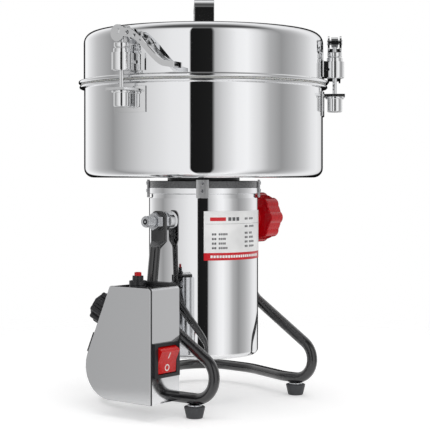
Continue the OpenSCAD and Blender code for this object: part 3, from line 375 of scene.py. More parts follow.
pale_floor = bpy.data.materials.new("pale_floor")
pale_floor.use_nodes = True
floor_tree = pale_floor.node_tree
floor_tree.nodes.clear()
paint = add(pale_floor, "ShaderNodeBsdfDiffuse", Color=(0.80, 0.80, 0.80, 1))
glow = add(pale_floor, "ShaderNodeEmission", Color=(1, 1, 1, 1))
both = add(pale_floor, "ShaderNodeAddShader")
clear = add(pale_floor, "ShaderNodeBsdfTransparent")
fade = add(pale_floor, "ShaderNodeMixShader")
spot = add(pale_floor, "ShaderNodeTexCoord")
reach = add(pale_floor, "ShaderNodeVectorMath")
reach.operation = "LENGTH"
edge = add(pale_floor, "ShaderNodeMapRange", From_Min=FADE_FROM, From_Max=FLOOR_R)
edge.interpolation_type = "SMOOTHSTEP"
path = add(pale_floor, "ShaderNodeLightPath")
mirrored = add(pale_floor, "ShaderNodeMapRange", From_Min=MIRROR_FADE[0], From_Max=MIRROR_FADE[1])
mirror_only = add(pale_floor, "ShaderNodeMath")
mirror_only.operation = "MULTIPLY"
faded = add(pale_floor, "ShaderNodeMath")
faded.operation = "MAXIMUM"
seen = add(pale_floor, "ShaderNodeMath")
seen.operation = "MAXIMUM"
seen_all = add(pale_floor, "ShaderNodeMath")
seen_all.operation = "MAXIMUM"
lift = add(pale_floor, "ShaderNodeMath", _1=FLOOR_GLOW)
lift.operation = "MULTIPLY"
surface = add(pale_floor, "ShaderNodeOutputMaterial")
join(pale_floor, path, seen.inputs[0], "Is Camera Ray")
join(pale_floor, path, seen.inputs[1], "Is Glossy Ray")
join(pale_floor, seen, seen_all.inputs[0])
join(pale_floor, path, seen_all.inputs[1], "Is Transmission Ray")
join(pale_floor, seen_all, lift.inputs[0])
join(pale_floor, lift, glow.inputs["Strength"])
join(pale_floor, paint, both.inputs[0])
join(pale_floor, glow, both.inputs[1])
join(pale_floor, spot, reach.inputs[0], "Object")
join(pale_floor, reach, edge.inputs["Value"], "Value")
join(pale_floor, reach, mirrored.inputs["Value"], "Value")
join(pale_floor, mirrored, mirror_only.inputs[0])
join(pale_floor, path, mirror_only.inputs[1], "Is Glossy Ray")
join(pale_floor, edge, faded.inputs[0])
join(pale_floor, mirror_only, faded.inputs[1])
join(pale_floor, faded, fade.inputs["Fac"])
join(pale_floor, both, fade.inputs[1])
join(pale_floor, clear, fade.inputs[2])
join(pale_floor, fade, surface.inputs["Surface"])
floor_mesh.materials.append(pale_floor)
print("floor fades from", FADE_FROM, "m")

# %% [markdown]
# ## Dressing the solids
#
# A solid from CAD has perfectly sharp edges, and nothing real does. Two helpers do most of
# the modelling here. The first turns an outline of radii and heights round an axis with the
# spin operator, which gives drawn and turned parts an even, smooth surface. The second
# copies a solid, merges its loose triangles, joins the ones that lie flat together, and
# bevels every sharp edge, so that each edge catches a thin line of light.

# %% Helper that finishes a piece
WELD = 0.000001


def place_piece(name, bm, material, body, nodes=(), smooth=40):
    """Make an object of a bmesh, shade it, and let it ride on its body."""
    bmesh.ops.remove_doubles(bm, verts=bm.verts, dist=WELD)
    bmesh.ops.recalc_face_normals(bm, faces=bm.faces)
    mesh = bpy.data.meshes.new(name)
    bm.to_mesh(mesh)
    bm.free()
    mesh.shade_smooth()
    mesh.set_sharp_from_angle(angle=radians(smooth))
    mesh.materials.append(material)
    piece = bpy.data.objects.new(name, mesh)
    bpy.context.scene.collection.objects.link(piece)
    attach(piece, body)
    if nodes:
        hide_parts(*nodes)
    print(name, "with", len(mesh.polygons), "faces")
    return piece


print("finishing helper ready")

# %% Helpers for turned parts
def outline(points, steps=8):
    """Round the corners of an outline: each point is (x, y) or (x, y, radius), in mm."""
    result = []
    count = len(points)
    for i, (x, y, *radius) in enumerate(points):
        corner = Vector((x, y))
        if not radius:
            result.append(corner)
            continue
        before = (Vector(points[i - 1][:2]) - corner).normalized()
        after = (Vector(points[(i + 1) % count][:2]) - corner).normalized()
        half = before.angle(after) / 2
        centre = corner + (before + after).normalized() * radius[0] / sin(half)
        start = corner + before * radius[0] / tan(half) - centre
        turned = start.angle_signed(corner + after * radius[0] / tan(half) - centre)
        for step in range(steps + 1):
            result.append(centre + Matrix.Rotation(-turned * step / steps, 2) @ start)
    return result


def spin(bm, points, steps=128, centre=(0, 0, 0), axis=(0, 0, 1), across=(1, 0, 0)):
    """Turn a closed outline of (radius, height) in mm round an axis."""
    centre, axis, across = Vector(centre) * MM, Vector(axis), Vector(across)
    verts = [bm.verts.new(centre + (across * p[0] + axis * p[1]) * MM) for p in points]
    edges = [bm.edges.new((verts[i - 1], verts[i])) for i in range(len(verts))]
    bmesh.ops.spin(bm, geom=verts + edges, cent=centre, axis=axis, dvec=(0, 0, 0), angle=2 * pi,
                   steps=steps, use_merge=True, use_duplicate=False)
    if any(e.calc_length() < WELD / 10 for e in bm.edges):
        bmesh.ops.dissolve_degenerate(bm, edges=bm.edges, dist=WELD / 2)


print("turning helpers ready")

# %% Helper that copies and bevels a solid
def copy_solid(node):
    """A bmesh of a CAD solid, its triangles merged and its flat faces joined."""
    bm = bmesh.new()
    bm.from_mesh(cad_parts[node].data)
    bmesh.ops.remove_doubles(bm, verts=bm.verts, dist=WELD)
    bmesh.ops.dissolve_limit(bm, angle_limit=radians(0.6), verts=bm.verts, edges=bm.edges)
    return bm


def soften(bm, width, segments=2, angle=32, centre=None):
    """Bevel each edge sharper than an angle, or only those that face away from a centre in mm."""
    sharp = [e for e in bm.edges if len(e.link_faces) == 2 and e.calc_face_angle() > radians(angle)]
    if centre:
        middle = Vector(centre) * MM
        sharp = [e for e in sharp
                 if all(f.normal.dot(f.calc_center_median() - middle) > 0 for f in e.link_faces)]
    bmesh.ops.bevel(bm, geom=sharp, offset=width * MM, offset_type="OFFSET", segments=segments,
                    profile=0.5, affect="EDGES", clamp_overlap=True, material=-1)


def dressed(node, name, material, body, width, segments=2, angle=32, smooth=40, centre=None):
    """A copy of a solid with softened edges, whose flat faces stay flat in a mirror."""
    bm = copy_solid(node)
    soften(bm, width, segments, angle, centre)
    piece = place_piece(name, bm, material, body, [node], smooth)
    even = piece.modifiers.new("even_shading", "WEIGHTED_NORMAL")
    even.keep_sharp = True
    return piece


print("modelling helpers ready")

# %% [markdown]
# ## The bowl
#
# The bowl is drawn from one sheet: a flat bottom, a rounded foot, a straight wall and a
# rolled rim. Turned steel has to be perfectly round, because a mirror shows every flat, so
# its section is spun in many steps and not taken from the solid. The outline runs out along
# the bottom, up the outside, over the rim and back down the inside.

# %% Spin the bowl
bowl_low, bowl_high = (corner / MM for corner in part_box("bowl"))
RIM_W, RIM_T, RIM_EDGE = 5.5, 3, 1.4
BOWL_STEPS = 192
RIM_OUT = bowl_high.x
BOWL_R = RIM_OUT - RIM_W
BOWL_Z, RIM_TOP = bowl_low.z, bowl_high.z
SHEET = 1.5
FOOT_R = 11
SEAL_R = 15.1

bm = bmesh.new()
spin(bm, outline([
    (SEAL_R, BOWL_Z), (BOWL_R, BOWL_Z, FOOT_R), (BOWL_R, RIM_TOP - RIM_T, 1.2),
    (RIM_OUT, RIM_TOP - RIM_T, RIM_EDGE), (RIM_OUT, RIM_TOP, RIM_EDGE), (BOWL_R - SHEET, RIM_TOP, 1.0),
    (BOWL_R - SHEET, BOWL_Z + SHEET, FOOT_R - SHEET), (SEAL_R, BOWL_Z + SHEET),
]), BOWL_STEPS)
place_piece("bowl_shell", bm, mirror_steel, "mill", ["bowl"], smooth=50)

# %% [markdown]
# ## The lid
#
# The lid is a deep pressing too. Its wall stands on a flared rim that covers the bowl's rim,
# its top edge is a wide round, and the top swells a little so that it doesn't drum. The
# swell has two points between the middle and the edge, each given as a share of the radius
# and a drop below the top.

# %% Spin the lid
lid_low, lid_high = (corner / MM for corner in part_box("lid_shell"))
LID_RIM_W, LID_RIM_T, LID_RIM_EDGE = 6, 4, 1.8
CROWN = 3
LID_OUT = lid_high.x
LID_R = LID_OUT - LID_RIM_W
LID_Z, LID_TOP = lid_low.z, lid_high.z
LID_EDGE = LID_TOP - CROWN
LID_ROUND = 13
INNER, OUTER = (0.3, 0.4), (0.6, 1.2)

bm = bmesh.new()
spin(bm, outline([
    (0, LID_TOP), (LID_R * INNER[0], LID_TOP - INNER[1]), (LID_R * OUTER[0], LID_TOP - OUTER[1]),
    (LID_R, LID_EDGE, LID_ROUND), (LID_R, LID_Z + LID_RIM_T, 1.2),
    (LID_OUT, LID_Z + LID_RIM_T, LID_RIM_EDGE), (LID_OUT, LID_Z, LID_RIM_EDGE), (LID_R - SHEET, LID_Z),
    (LID_R - SHEET, LID_EDGE - SHEET, LID_ROUND - SHEET), (LID_R * OUTER[0], LID_TOP - OUTER[1] - SHEET),
    (LID_R * INNER[0], LID_TOP - INNER[1] - SHEET), (0, LID_TOP - SHEET),
]), BOWL_STEPS)
place_piece("lid_pressing", bm, mirror_steel, "lid", ["lid_shell"], smooth=50)

# %% [markdown]
# ## The motor can
#
# The can is a drawn cup that hangs between the legs. Its wall is spun like the bowl's. The
# air slots in its base are cut afterwards with a Boolean modifier, which only touches the
# flat base, so the wall keeps its even faces.

# %% Spin the can and cut its air slots
can_low, can_high = (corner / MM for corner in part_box("motor_can"))
CAN_R, CAN_Z, CAN_TOP = can_high.x, can_low.z, can_high.z
CAN_ROUND = 6
SLOTS = 16
SLOT_FROM, SLOT_TO, SLOT_W = 24, 50, 4
CAN_STEPS = 160

bm = bmesh.new()
spin(bm, outline([
    (0, CAN_Z), (CAN_R, CAN_Z, CAN_ROUND), (CAN_R, CAN_TOP), (CAN_R - SHEET, CAN_TOP),
    (CAN_R - SHEET, CAN_Z + SHEET, CAN_ROUND - SHEET), (0, CAN_Z + SHEET),
]), CAN_STEPS)
can = place_piece("can_shell", bm, mirror_steel, "mill", ["motor_can"], smooth=50)

bm = bmesh.new()
for i in range(SLOTS):
    slot_turn = Matrix.Rotation(2 * pi * i / SLOTS, 4, "Z")
    slot_at = Matrix.Translation(Vector(((SLOT_FROM + SLOT_TO) / 2, 0, CAN_Z + SHEET / 2)) * MM)
    size = Matrix.Diagonal(Vector((SLOT_TO - SLOT_FROM, SLOT_W, 3 * SHEET)) * MM).to_4x4()
    bmesh.ops.create_cube(bm, size=1, matrix=slot_turn @ slot_at @ size)
cutter_mesh = bpy.data.meshes.new("slot_cutter")
bm.to_mesh(cutter_mesh)
bm.free()
cutter = bpy.data.objects.new("slot_cutter", cutter_mesh)
bpy.context.scene.collection.objects.link(cutter)
cut = can.modifiers.new("air_slots", "BOOLEAN")
cut.object = cutter
cut.solver = "EXACT"
slotted = bpy.data.meshes.new_from_object(can.evaluated_get(bpy.context.evaluated_depsgraph_get()))
can.modifiers.remove(cut)
can.data = slotted
bpy.data.objects.remove(cutter)
print("can with", SLOTS, "slots,", len(slotted.polygons), "faces")

# %% [markdown]
# ## The stand tube
#
# The stand is one tube, bent in a bender: straight runs joined by round bends. A curve with
# a round bevel is made for this. Its points follow the corners and radii of the bends, and
# Blender sweeps the section along them. The left leg is the right one mirrored, and the left
# rail runs straight back. Each leg ends in a flattened, drilled strap. That shape
# is taken from the solid: a copy is cut a little below the straps, and its edges are
# softened.

# %% Route of the tube
TUBE_R = 6.25
RUN_ANGLE = 33
RAIL_Z = 21
STEP = 3
LEG_TOP = Vector((87.5, 0, 185))
LEG_X, FRONT_X, BACK_Y = 96.5, 93.5, 108
FRONT_BEND_R, FRONT_BEND_Y = 24, 68
FRONT_REACH = FRONT_BEND_Y + FRONT_BEND_R * tan(radians(90 - RUN_ANGLE / 2))
corners = [
    (LEG_TOP, 0),
    (Vector((LEG_X, 0, RAIL_Z + FRONT_REACH * tan(radians(RUN_ANGLE)))), 22),
    (Vector((FRONT_X, -FRONT_REACH, RAIL_Z)), FRONT_BEND_R),
    (Vector((95.5, -50, RAIL_Z)), 60),
    (Vector((123, 22, RAIL_Z)), 90),
    (Vector((127, BACK_Y, RAIL_Z)), 45),
    (Vector((-102, BACK_Y, RAIL_Z)), 60),
]
corners += [(Vector((-place.x, place.y, place.z)), radius) for place, radius in reversed(corners[:3])]
route = [corners[0][0]]
for (before, _), (corner, radius), (after, _) in zip(corners, corners[1:], corners[2:]):
    back, on = (before - corner).normalized(), (after - corner).normalized()
    half = back.angle(on) / 2
    centre = corner + (back + on).normalized() * radius / sin(half)
    start = corner + back * radius / tan(half) - centre
    axis = start.cross(corner + on * radius / tan(half) - centre).normalized()
    bend = pi - 2 * half
    steps = max(6, round(bend * radius / STEP))
    route += [centre + Matrix.Rotation(bend * i / steps, 3, axis) @ start for i in range(steps + 1)]
route.append(corners[-1][0])
print("tube of", round(sum((b - a).length for a, b in zip(route, route[1:]))), "mm")

# %% Sweep the tube
curve = bpy.data.curves.new("tube_sweep", "CURVE")
curve.dimensions = "3D"
curve.bevel_depth = TUBE_R * MM
curve.bevel_resolution = 10
curve.use_fill_caps = True
line = curve.splines.new("POLY")
line.points.add(len(route) - 1)
for point, place in zip(line.points, route):
    point.co = (*(place * MM), 1)
sweep = bpy.data.objects.new("tube_sweep", curve)
bpy.context.scene.collection.objects.link(sweep)
swept = bpy.data.meshes.new_from_object(sweep.evaluated_get(bpy.context.evaluated_depsgraph_get()))
bpy.data.objects.remove(sweep)
bm = bmesh.new()
bm.from_mesh(swept)
place_piece("bent_tube", bm, black_lacquer, "stand", ["stand_tube"], smooth=60)

# %% The flattened ends of the legs
CUT_BELOW = 3.5
bm = copy_solid("stand_tube")
bmesh.ops.bisect_plane(bm, geom=bm.verts[:] + bm.edges[:] + bm.faces[:], plane_no=(0, 0, 1),
                       plane_co=(0, 0, (LEG_TOP.z - CUT_BELOW) * MM), clear_inner=True)
bmesh.ops.holes_fill(bm, edges=[e for e in bm.edges if e.is_boundary], sides=0)
soften(bm, 0.8, 3)
place_piece("leg_straps", bm, black_lacquer, "stand")

# %% [markdown]
# ## The rings under the bowl
#
# A turned cover closes the can, with a groove under its flange. A dark grey ring on top of
# it keeps the motor's hum out of the bowl, and a small plate lifts the bowl clear; the plate's
# black is painted shade for the narrow gap under the bowl. All three are turned, so they are
# spun, and their edges are only slightly broken.

# %% Spin the cover, the ring and the plate
COVER_Z = CAN_TOP
FLANGE_Z = COVER_Z + 5
SPIGOT_Z = COVER_Z - 6
SPIGOT_OUT, SPIGOT_IN = CAN_R - 1.55, CAN_R - 4.5
HUB_R, SEAT_R, SEAT_TOP = 22, 16.05, COVER_Z + 3
GROOVE_R = CAN_R - 3
RING_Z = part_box("isolation_ring")[0].z / MM
RING_R = CAN_R - 0.5
PLATE_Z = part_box("neck_plate")[0].z / MM
PLATE_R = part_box("neck_plate")[1].x / MM
BORE_R = 9

bm = bmesh.new()
spin(bm, outline([
    (BORE_R, RING_Z), (CAN_R, RING_Z, 0.6), (CAN_R, FLANGE_Z, 0.8), (GROOVE_R, FLANGE_Z, 0.5),
    (GROOVE_R, COVER_Z), (SPIGOT_OUT, COVER_Z), (SPIGOT_OUT, SPIGOT_Z), (SPIGOT_IN, SPIGOT_Z),
    (SPIGOT_IN, COVER_Z), (HUB_R, COVER_Z), (HUB_R, SPIGOT_Z, 0.6), (SEAT_R, SPIGOT_Z),
    (SEAT_R, SEAT_TOP), (BORE_R, SEAT_TOP),
], 4), CAN_STEPS)
place_piece("turned_cover", bm, mirror_steel, "mill", ["top_cover"])

bm = bmesh.new()
spin(bm, outline([
    (BORE_R, RING_Z), (RING_R, RING_Z, 0.6), (RING_R, PLATE_Z, 0.9), (BORE_R, PLATE_Z),
], 4), CAN_STEPS)
place_piece("hum_ring", bm, ring_grey, "mill", ["isolation_ring"])

# The plate's satin black is painted shade for the narrow gap under the bowl.
bm = bmesh.new()
spin(bm, outline([
    (BORE_R, PLATE_Z), (PLATE_R, PLATE_Z, 0.5), (PLATE_R, BOWL_Z, 0.5), (BORE_R, BOWL_Z),
], 4))
place_piece("bowl_plate", bm, satin_black, "mill", ["neck_plate"])

# %% [markdown]
# ## The lugs and the pivots
#
# Four flat lugs hold the stack together. The mill hangs on two bolts through the can's sides.
# A nut locks each bolt against its boss, and the left one has a second nut outside the leg.
# The solids of these have the right shape, so they are copied and their edges are broken.

# %% Lugs, bosses, nuts and bolts
dressed("cover_lugs", "lug_plates", pale_steel, "mill", 0.4)
dressed("lug_screws", "lug_screw_heads", zinc, "mill", 0.3)
dressed("pivot_bosses", "boss_rings", tumbled_steel, "mill", 0.5)
dressed("pivot_nuts", "hex_nuts", zinc, "mill", 0.5)
dressed("pivot_bolts", "hex_bolts", zinc, "mill", 0.4)
dressed("pivot_washer", "knob_washer", zinc, "mill", 0.3)

# %% [markdown]
# ## Threads on the left bolt
#
# The bolt's end stands out of its nut, so its thread shows. A real thread is a helix, but at
# this size a row of close ridges looks the same, and it can be spun as one closed outline.
# The outline starts with the dimple in the bolt's end.

# %% Spin the ridges
bolt_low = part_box("pivot_bolts")[0] / MM
PIVOT_Z = 215
BOLT_R = 6.2
PITCH = 1.5
CREST_R, ROOT_R = BOLT_R + 0.35, BOLT_R - 0.5
THREAD_FROM, THREAD_TO = 1.4, 12.4
bolt_end = bolt_low.x
ridges = [(0, 0.8), (1.4, 0), (3.2, 0), (3.6, -0.2), (BOLT_R - 1.1, -0.2), (BOLT_R + 0.2, 1.1)]
along = THREAD_FROM
while along < THREAD_TO:
    ridges += [(CREST_R, along), (CREST_R, along + 0.35), (ROOT_R, along + 0.8), (ROOT_R, along + 1.1)]
    along += PITCH
ridges += [(ROOT_R, along), (0, along)]
bm = bmesh.new()
spin(bm, ridges, 64, (bolt_end, 0, PIVOT_Z), (1, 0, 0), (0, 0, 1))
place_piece("bolt_thread", bm, zinc, "mill", smooth=28)

# %% [markdown]
# ## The lock knob
#
# The red knob on the right pivot is moulded with shallow lobes for the fingers. Its edges are
# generously rounded, so the copy of its solid gets a wide bevel in several steps.

# %% Round the knob
dressed("tilt_knob", "lobed_knob", knob_red, "knob", 1.6, 4, angle=50, smooth=50)
dressed("knob_insert", "brass_bush", brass, "knob", 0.3)

# %% [markdown]
# ## The control box
#
# The box is folded from thin steel: a shell, and a side cover whose lip slides inside it. Both
# are copied from their solids. Wide soft edges matter here, since a fold is never sharp and
# its bright line is what tells the eye that this is sheet. A dark strip sunk in the seam is
# painted shade for the gap where the two meet. A black saddle holds the box to the leg with
# two screws, and its plate runs along the top edge.

# %% Shell, cover, saddle and screws
BOX_MIDDLE = (-127, 0, 80)
dressed("box_shell", "folded_shell", folded_steel, "stand", 1.35, 4, centre=BOX_MIDDLE)
dressed("box_cover", "side_cover", folded_steel, "stand", 1.35, 4, centre=BOX_MIDDLE)
dressed("box_clamp", "saddle", satin_black, "stand", 0.4)

# %% The painted shade in the seam
BOX_FRONT, BOX_Z, BOX_TOP, BOX_TOP_BACK, SLOPE = -49, 19, 145, 11, 24
FOLD_R, BACK_FOLD_R = 3.5, 35


def box_section(inset):
    """The box's side outline as (y, z) points, moved inwards by an inset in mm."""
    lean, shift = tan(radians(SLOPE)), inset / cos(radians(SLOPE))
    back_top = BOX_TOP_BACK - shift + inset * lean
    back_low = BOX_TOP_BACK + (BOX_TOP - BOX_Z - inset) * lean - shift
    return outline([
        (BOX_FRONT + inset, BOX_Z + inset), (BOX_FRONT + inset, BOX_TOP - inset, FOLD_R - inset),
        (back_top, BOX_TOP - inset, FOLD_R - inset), (back_low, BOX_Z + inset, BACK_FOLD_R - inset),
    ])


# A thin dark strip sunk into the seam between shell and cover is painted shade for the gap where they meet.
SEAM_SHADE_FROM, SEAM_SHADE_TO, SEAM_SHADE_PROUD, SEAM_SHADE_SUNK = -151.0, -148.9, 0.25, 1.2
seam_shade_corners = (
    (-SEAM_SHADE_PROUD, SEAM_SHADE_FROM), (-SEAM_SHADE_PROUD, SEAM_SHADE_TO), (SEAM_SHADE_SUNK, SEAM_SHADE_TO), (SEAM_SHADE_SUNK, SEAM_SHADE_FROM),
)
bm = bmesh.new()
hoop = [[bm.verts.new(Vector((x, y, z)) * MM) for y, z in box_section(inset)]
        for inset, x in seam_shade_corners]
for one, two in zip(hoop, hoop[1:] + hoop[:1]):
    for k in range(len(one)):
        bm.faces.new((one[k - 1], one[k], two[k], two[k - 1]))
place_piece("painted_seam_shade", bm, seal_rubber, "stand")

# %% Screws of the saddle
HEAD_R, HEAD_T = 3.6, 2
bm = bmesh.new()
screws_low, screws_high = (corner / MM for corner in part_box("box_screws"))
for side in (-1, 1):
    head_y = side * ((screws_high.y - screws_low.y) / 2 - HEAD_R)
    spin(bm, outline([
        (0, 0), (HEAD_R, 0), (HEAD_R, HEAD_T, 0.7), (1.6, HEAD_T, 0.2), (1.3, 1), (0, 1),
    ], 4), 32, (screws_low.x, head_y, (screws_low.z + screws_high.z) / 2), (1, 0, 0), (0, 0, 1))
place_piece("saddle_screws", bm, zinc, "stand", ["box_screws"])

# %% [markdown]
# ## The rocker switch
#
# A black bezel clips into the front of the box, and a red rocker turns in it. The rocker has
# arched ends, so that no gap opens as it turns. Its marks are the plain I and O of a power
# switch, made as thin inlays. They are built in the rocker's own frame and then tilted with
# it, which is easier than working out every point at its lean.

# %% Bezel and rocker
def at(x, y, z):
    """A frame moved to a place in mm."""
    return Matrix.Translation(Vector((x, y, z)) * MM)


def slab(bm, size, place):
    """A box of a size in mm, centred in a frame."""
    bmesh.ops.create_cube(bm, size=1, matrix=place @ Matrix.Diagonal(Vector(size) * MM).to_4x4())


dressed("switch_frame", "switch_bezel", black_plastic, "stand", 0.5)
dressed("rocker", "rocker_key", rocker_red_painted_glow, "rocker", 1.1, 3)

ROCKER_LEAN = 14
ROCKER = at(-126, -46, 66) @ Matrix.Rotation(radians(ROCKER_LEAN), 4, "X")
KEY_TILT = 10.9
MARK_OUT, MARK_UP = 6.85, 7.0
bm = bmesh.new()
upper = at(0, -MARK_OUT, MARK_UP) @ Matrix.Rotation(radians(90 + KEY_TILT), 4, "X")
lower = at(0, -MARK_OUT, -MARK_UP) @ Matrix.Rotation(radians(90 - KEY_TILT), 4, "X")
slab(bm, (1.3, 7, 0.3), upper)
ring = bmesh.new()
spin(ring, [(2.6, -0.15), (3.7, -0.15), (3.7, 0.15), (2.6, 0.15)], 48)
bmesh.ops.transform(ring, matrix=lower, verts=ring.verts)
ring_mesh = bpy.data.meshes.new("ring")
ring.to_mesh(ring_mesh)
ring.free()
bm.from_mesh(ring_mesh)
bpy.data.meshes.remove(ring_mesh)
bmesh.ops.transform(bm, matrix=ROCKER, verts=bm.verts)
place_piece("rocker_marks", bm, mark_white, "rocker")

# %% [markdown]
# ## The timer
#
# The timer's fluted knob sits on the sloped back of the box. Its pointer carries a white
# inlay, and short ticks are printed round it on the steel. Everything here is placed in the
# frame of the slope, whose Z axis points out of the steel.

# %% Knob, pointer and ticks
TIMER_X, TIMER_Z, KNOB_TOP = -127.25, 110, 23.42


def on_slope(z):
    """A frame on the box's slope at a height in mm, with its Z axis out of the steel."""
    y = BOX_TOP_BACK + (BOX_TOP - z) * tan(radians(SLOPE))
    return at(TIMER_X, y, z) @ Matrix.Rotation(radians(SLOPE - 90), 4, "X")


dressed("timer_knob", "fluted_knob", black_plastic, "timer", 0.6, 3)

bm = bmesh.new()
slab(bm, (1.2, 13, 0.12), on_slope(TIMER_Z) @ at(0, -8.5, KNOB_TOP))
place_piece("pointer_mark", bm, mark_white, "timer")

TICKS, TICK_STEP, TICK_START = 11, 30, 150
TICK_R, TICK = 22.3, (0.8, 2.2, 0.06)
bm = bmesh.new()
for i in range(TICKS):
    turned = Matrix.Rotation(radians(-TICK_STEP * i + TICK_START), 4, "Z")
    slab(bm, TICK, on_slope(TIMER_Z) @ turned @ at(0, -TICK_R, TICK[2] / 2))
place_piece("dial_ticks", bm, satin_black, "stand")

# %% [markdown]
# ## The power inlet and the reset button
#
# The mains lead plugs into the inlet under the timer. The breaker's red button stands on the
# top of the box, in its black ring.

# %% Inlet, breaker and button
dressed("power_inlet", "inlet_socket", black_plastic, "stand", 0.5)
dressed("inlet_pins", "contact_pins", brass, "stand", 0.4)
dressed("breaker_body", "breaker", black_plastic, "stand", 0.4)
dressed("reset_button", "red_button", knob_red, "reset", 0.8, 3)

# %% [markdown]
# ## The label
#
# The label is a thin film round the front of the can: white, with a red band along its foot.
# Its print is reduced to plain bars, which give the look of a filled label without saying
# anything. Each bar is a thin curved strip that stands a hair in front of the film, so the
# two don't flicker into each other. A row of dashes is given by its height, the angle where
# it starts, and how many dashes it has.

# %% Film and band
def curved_bar(bm, inner, outer, start, end, low, high):
    """A closed strip round the mill's axis, between two radii, angles and heights."""
    steps = max(2, round((end - start) / 1.5))
    rows = []
    for i in range(steps + 1):
        angle = radians(start + (end - start) * i / steps)
        out = Vector((cos(angle), sin(angle), 0))
        corners_here = ((inner, low), (outer, low), (outer, high), (inner, high))
        rows.append([bm.verts.new((out * r + Vector((0, 0, z))) * MM) for r, z in corners_here])
    for one, two in zip(rows, rows[1:]):
        for k in range(4):
            bm.faces.new((one[k - 1], one[k], two[k], two[k - 1]))
    bm.faces.new(rows[0])
    bm.faces.new(rows[-1][::-1])


LABEL_FROM, LABEL_TO = 219.3, 314.8
FILM_R = CAN_R + 0.4
PRINT_R = FILM_R + 0.05
label_low, label_high = (corner.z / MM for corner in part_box("label_plate"))
band_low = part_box("label_band")[0].z / MM

bm = bmesh.new()
curved_bar(bm, CAN_R + 0.05, FILM_R, LABEL_FROM, LABEL_TO, label_low, label_high)
place_piece("label_film", bm, label_white, "mill", ["label_plate"])
bm = bmesh.new()
curved_bar(bm, CAN_R + 0.05, FILM_R, LABEL_FROM, LABEL_TO, band_low, label_low)
place_piece("label_foot", bm, label_red, "mill", ["label_band"])

# %% Printed bars
DASHES = [(0, 1.9), (2.4, 4.4), (7.0, 8.4), (8.9, 10.3), (10.9, 12.3), (12.8, 14.4), (15.0, 16.4)]
HALF_BAR = 1.2
HEADER = (215.2, 219.4)
RULE = (211.7, 211.95)
BAND_BARS, BAND_PRINT = 22, (172.9, 175.8)
ink = bmesh.new()
for height, start, count in (
    (200.0, 227.5, 7), (194.7, 227.5, 6), (189.4, 227.5, 6), (184.2, 227.5, 7), (217.5, 266.0, 6),
    (208.6, 266.0, 7), (200.9, 266.0, 5), (195.9, 266.0, 6), (190.8, 266.0, 7), (185.6, 266.0, 7),
):
    for dash_from, dash_to in DASHES[:count]:
        curved_bar(ink, FILM_R, PRINT_R, start + dash_from, start + dash_to,
                   height - HALF_BAR, height + HALF_BAR)
for start in (244.8, 249.6, 254.4):
    curved_bar(ink, FILM_R, PRINT_R, start, start + 3.6, *HEADER)
curved_bar(ink, FILM_R, PRINT_R, 222, 306, *RULE)
place_piece("label_print", ink, label_ink, "mill")

red_print = bmesh.new()
curved_bar(red_print, FILM_R, PRINT_R, 225.6, 242.2, *HEADER)
place_piece("label_header", red_print, label_red, "mill")

pale_print = bmesh.new()
for i in range(BAND_BARS):
    start = 226 + 3.1 * i
    curved_bar(pale_print, FILM_R, PRINT_R, start, start + 2.3, *BAND_PRINT)
place_piece("band_print", pale_print, label_white, "mill")

# %% [markdown]
# ## The clamps
#
# Three over-centre clamps hold the lid down. On the bowl, each has a folded bracket and a
# turned cup. On the lid, a strap wraps round a barrel, and a rod runs down through the barrel
# into the cup. A lever with a cam head pulls the rod up. Cups and barrels are turned, so they
# are spun; the folded pieces are copied from their solids.

# %% Brackets, cups and barrels
CLAMP_R = 156
CLAMP_ANGLES = (184, 304, 64)
CUP_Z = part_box("latch_cups")[0].z / MM
LIP_Z, CUP_TOP = CUP_Z + 15.5, CUP_Z + 18
CUP_HOLE_R, CUP_R, LIP_R = 3, 8.8, 11
BARREL_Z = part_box("clamp_barrels")[0].z / MM
BARREL_TOP, CAP_Z = BARREL_Z + 25, BARREL_Z + 26
CAP_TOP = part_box("clamp_barrels")[1].z / MM
ROD_HOLE_R, BARREL_R, NECK_R, CAP_R = 2.6, 9.2, 7.4, 8.5

dressed("lower_brackets", "bowl_brackets", polished_strap, "mill", 0.5)
dressed("lid_fittings", "lid_wraps", polished_strap, "lid", 0.4)

cups, barrels = bmesh.new(), bmesh.new()
for angle in CLAMP_ANGLES:
    place = (CLAMP_R * cos(radians(angle)), CLAMP_R * sin(radians(angle)), 0)
    spin(cups, outline([
        (CUP_HOLE_R, CUP_Z), (CUP_R, CUP_Z, 1.6), (CUP_R, LIP_Z, 0.4), (LIP_R, LIP_Z, 0.8),
        (LIP_R, CUP_TOP, 0.8), (CUP_HOLE_R, CUP_TOP),
    ], 5), 64, place)
    spin(barrels, outline([
        (ROD_HOLE_R, BARREL_Z), (BARREL_R, BARREL_Z, 1.0), (BARREL_R, BARREL_TOP, 1.2),
        (NECK_R, BARREL_TOP, 0.3), (NECK_R, CAP_Z, 0.3), (CAP_R, CAP_Z, 0.7), (CAP_R, CAP_TOP, 1.2),
        (ROD_HOLE_R, CAP_TOP),
    ], 5), 64, place)
place_piece("turned_cups", cups, polished_strap, "mill", ["latch_cups"])
place_piece("turned_barrels", barrels, polished_strap, "lid", ["clamp_barrels"])

# %% Rods and levers
for number in (1, 2, 3):
    dressed(f"clamp_rod_{number}", f"rod_{number}_turned", polished_strap, f"rod_{number}", 0.4)
    dressed(f"clamp_lever_{number}", f"lever_{number}_pressed", polished_strap, f"lever_{number}",
            0.5, 3)

# %% [markdown]
# ## The handle
#
# The handle is one strap bent over at both ends, with its edges folded down so that it is
# comfortable to hold, and riveted to the lid.

# %% Handle and gasket
dressed("lid_handle", "strap_handle", polished_strap, "lid", 0.5, 3)
dressed("lid_gasket", "soft_gasket", silicone, "lid", 0.3)

# %% [markdown]
# ## The feet
#
# Tapered rubber feet stand under washers. They are turned shapes with a rounded foot.

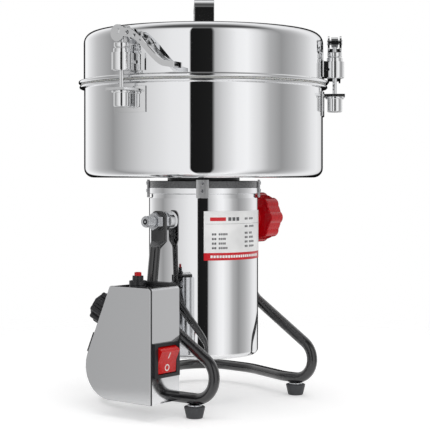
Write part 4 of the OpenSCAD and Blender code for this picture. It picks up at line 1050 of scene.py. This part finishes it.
# %% Spin the feet
FOOT_PLACES = ((-97, -66), (97, -66), (-30, 108), (45, 108))
SOLE_R, SHOULDER_R, WASHER_R, WASHER_T = 9, 12, 8, 1.75
feet, washers = bmesh.new(), bmesh.new()
foot_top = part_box("feet")[1].z / MM
washer_top = foot_top + WASHER_T
for foot_x, foot_y in FOOT_PLACES:
    place = (foot_x, foot_y, 0)
    spin(feet, outline([
        (0, 0), (SOLE_R, 0, 1.2), (SHOULDER_R, foot_top, 1.0), (0, foot_top),
    ], 5), 48, place)
    spin(washers, outline([
        (0, foot_top), (WASHER_R, foot_top, 0.3), (WASHER_R, washer_top, 0.3), (0, washer_top),
    ], 3), 48, place)
place_piece("rubber_feet", feet, foot_rubber, "stand", ["feet"])
place_piece("washers", washers, zinc, "stand", ["foot_washers"])

# %% [markdown]
# ## The blades
#
# The lid can come off, so the blades are finished too: ground steel with soft edges, held by
# collars and a nut on the shaft, over a rubber seal.

# %% Blades, collars, nut and seal
dressed("lower_blade", "lower_cutter", brushed_steel, "rotor", 0.3)
dressed("upper_blade", "upper_cutter", brushed_steel, "rotor", 0.3)
dressed("blade_collars", "spacers", tumbled_steel, "rotor", 0.4)
dressed("blade_nut", "top_nut", zinc, "rotor", 0.5)
dressed("shaft_seal", "lip_seal", seal_rubber, "mill", 0.4)

# %% [markdown]
# ## Finishes inside
#
# The motor and the parts in the box stay as solids, because they are hidden. They get the
# finish of what they are made of, so that a cutaway or an opened box looks right.

# %% Give the hidden solids their finishes
HIDDEN = {
    lamination: ["stator_core", "armature_core"],
    copper: ["field_coils", "armature_windings", "commutator"],
    cast_alloy: ["lower_bridge", "cooling_fan"],
    tumbled_steel: ["bearings", "shaft", "timer_spindle"],
    brass: ["brush_holders"],
    carbon: ["brushes"],
    satin_black: ["timer_body"],
}
for material, names in HIDDEN.items():
    for name in names:
        for hidden_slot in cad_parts[name].material_slots:
            hidden_slot.material = material
print("finished", sum(len(names) for names in HIDDEN.values()), "hidden solids")
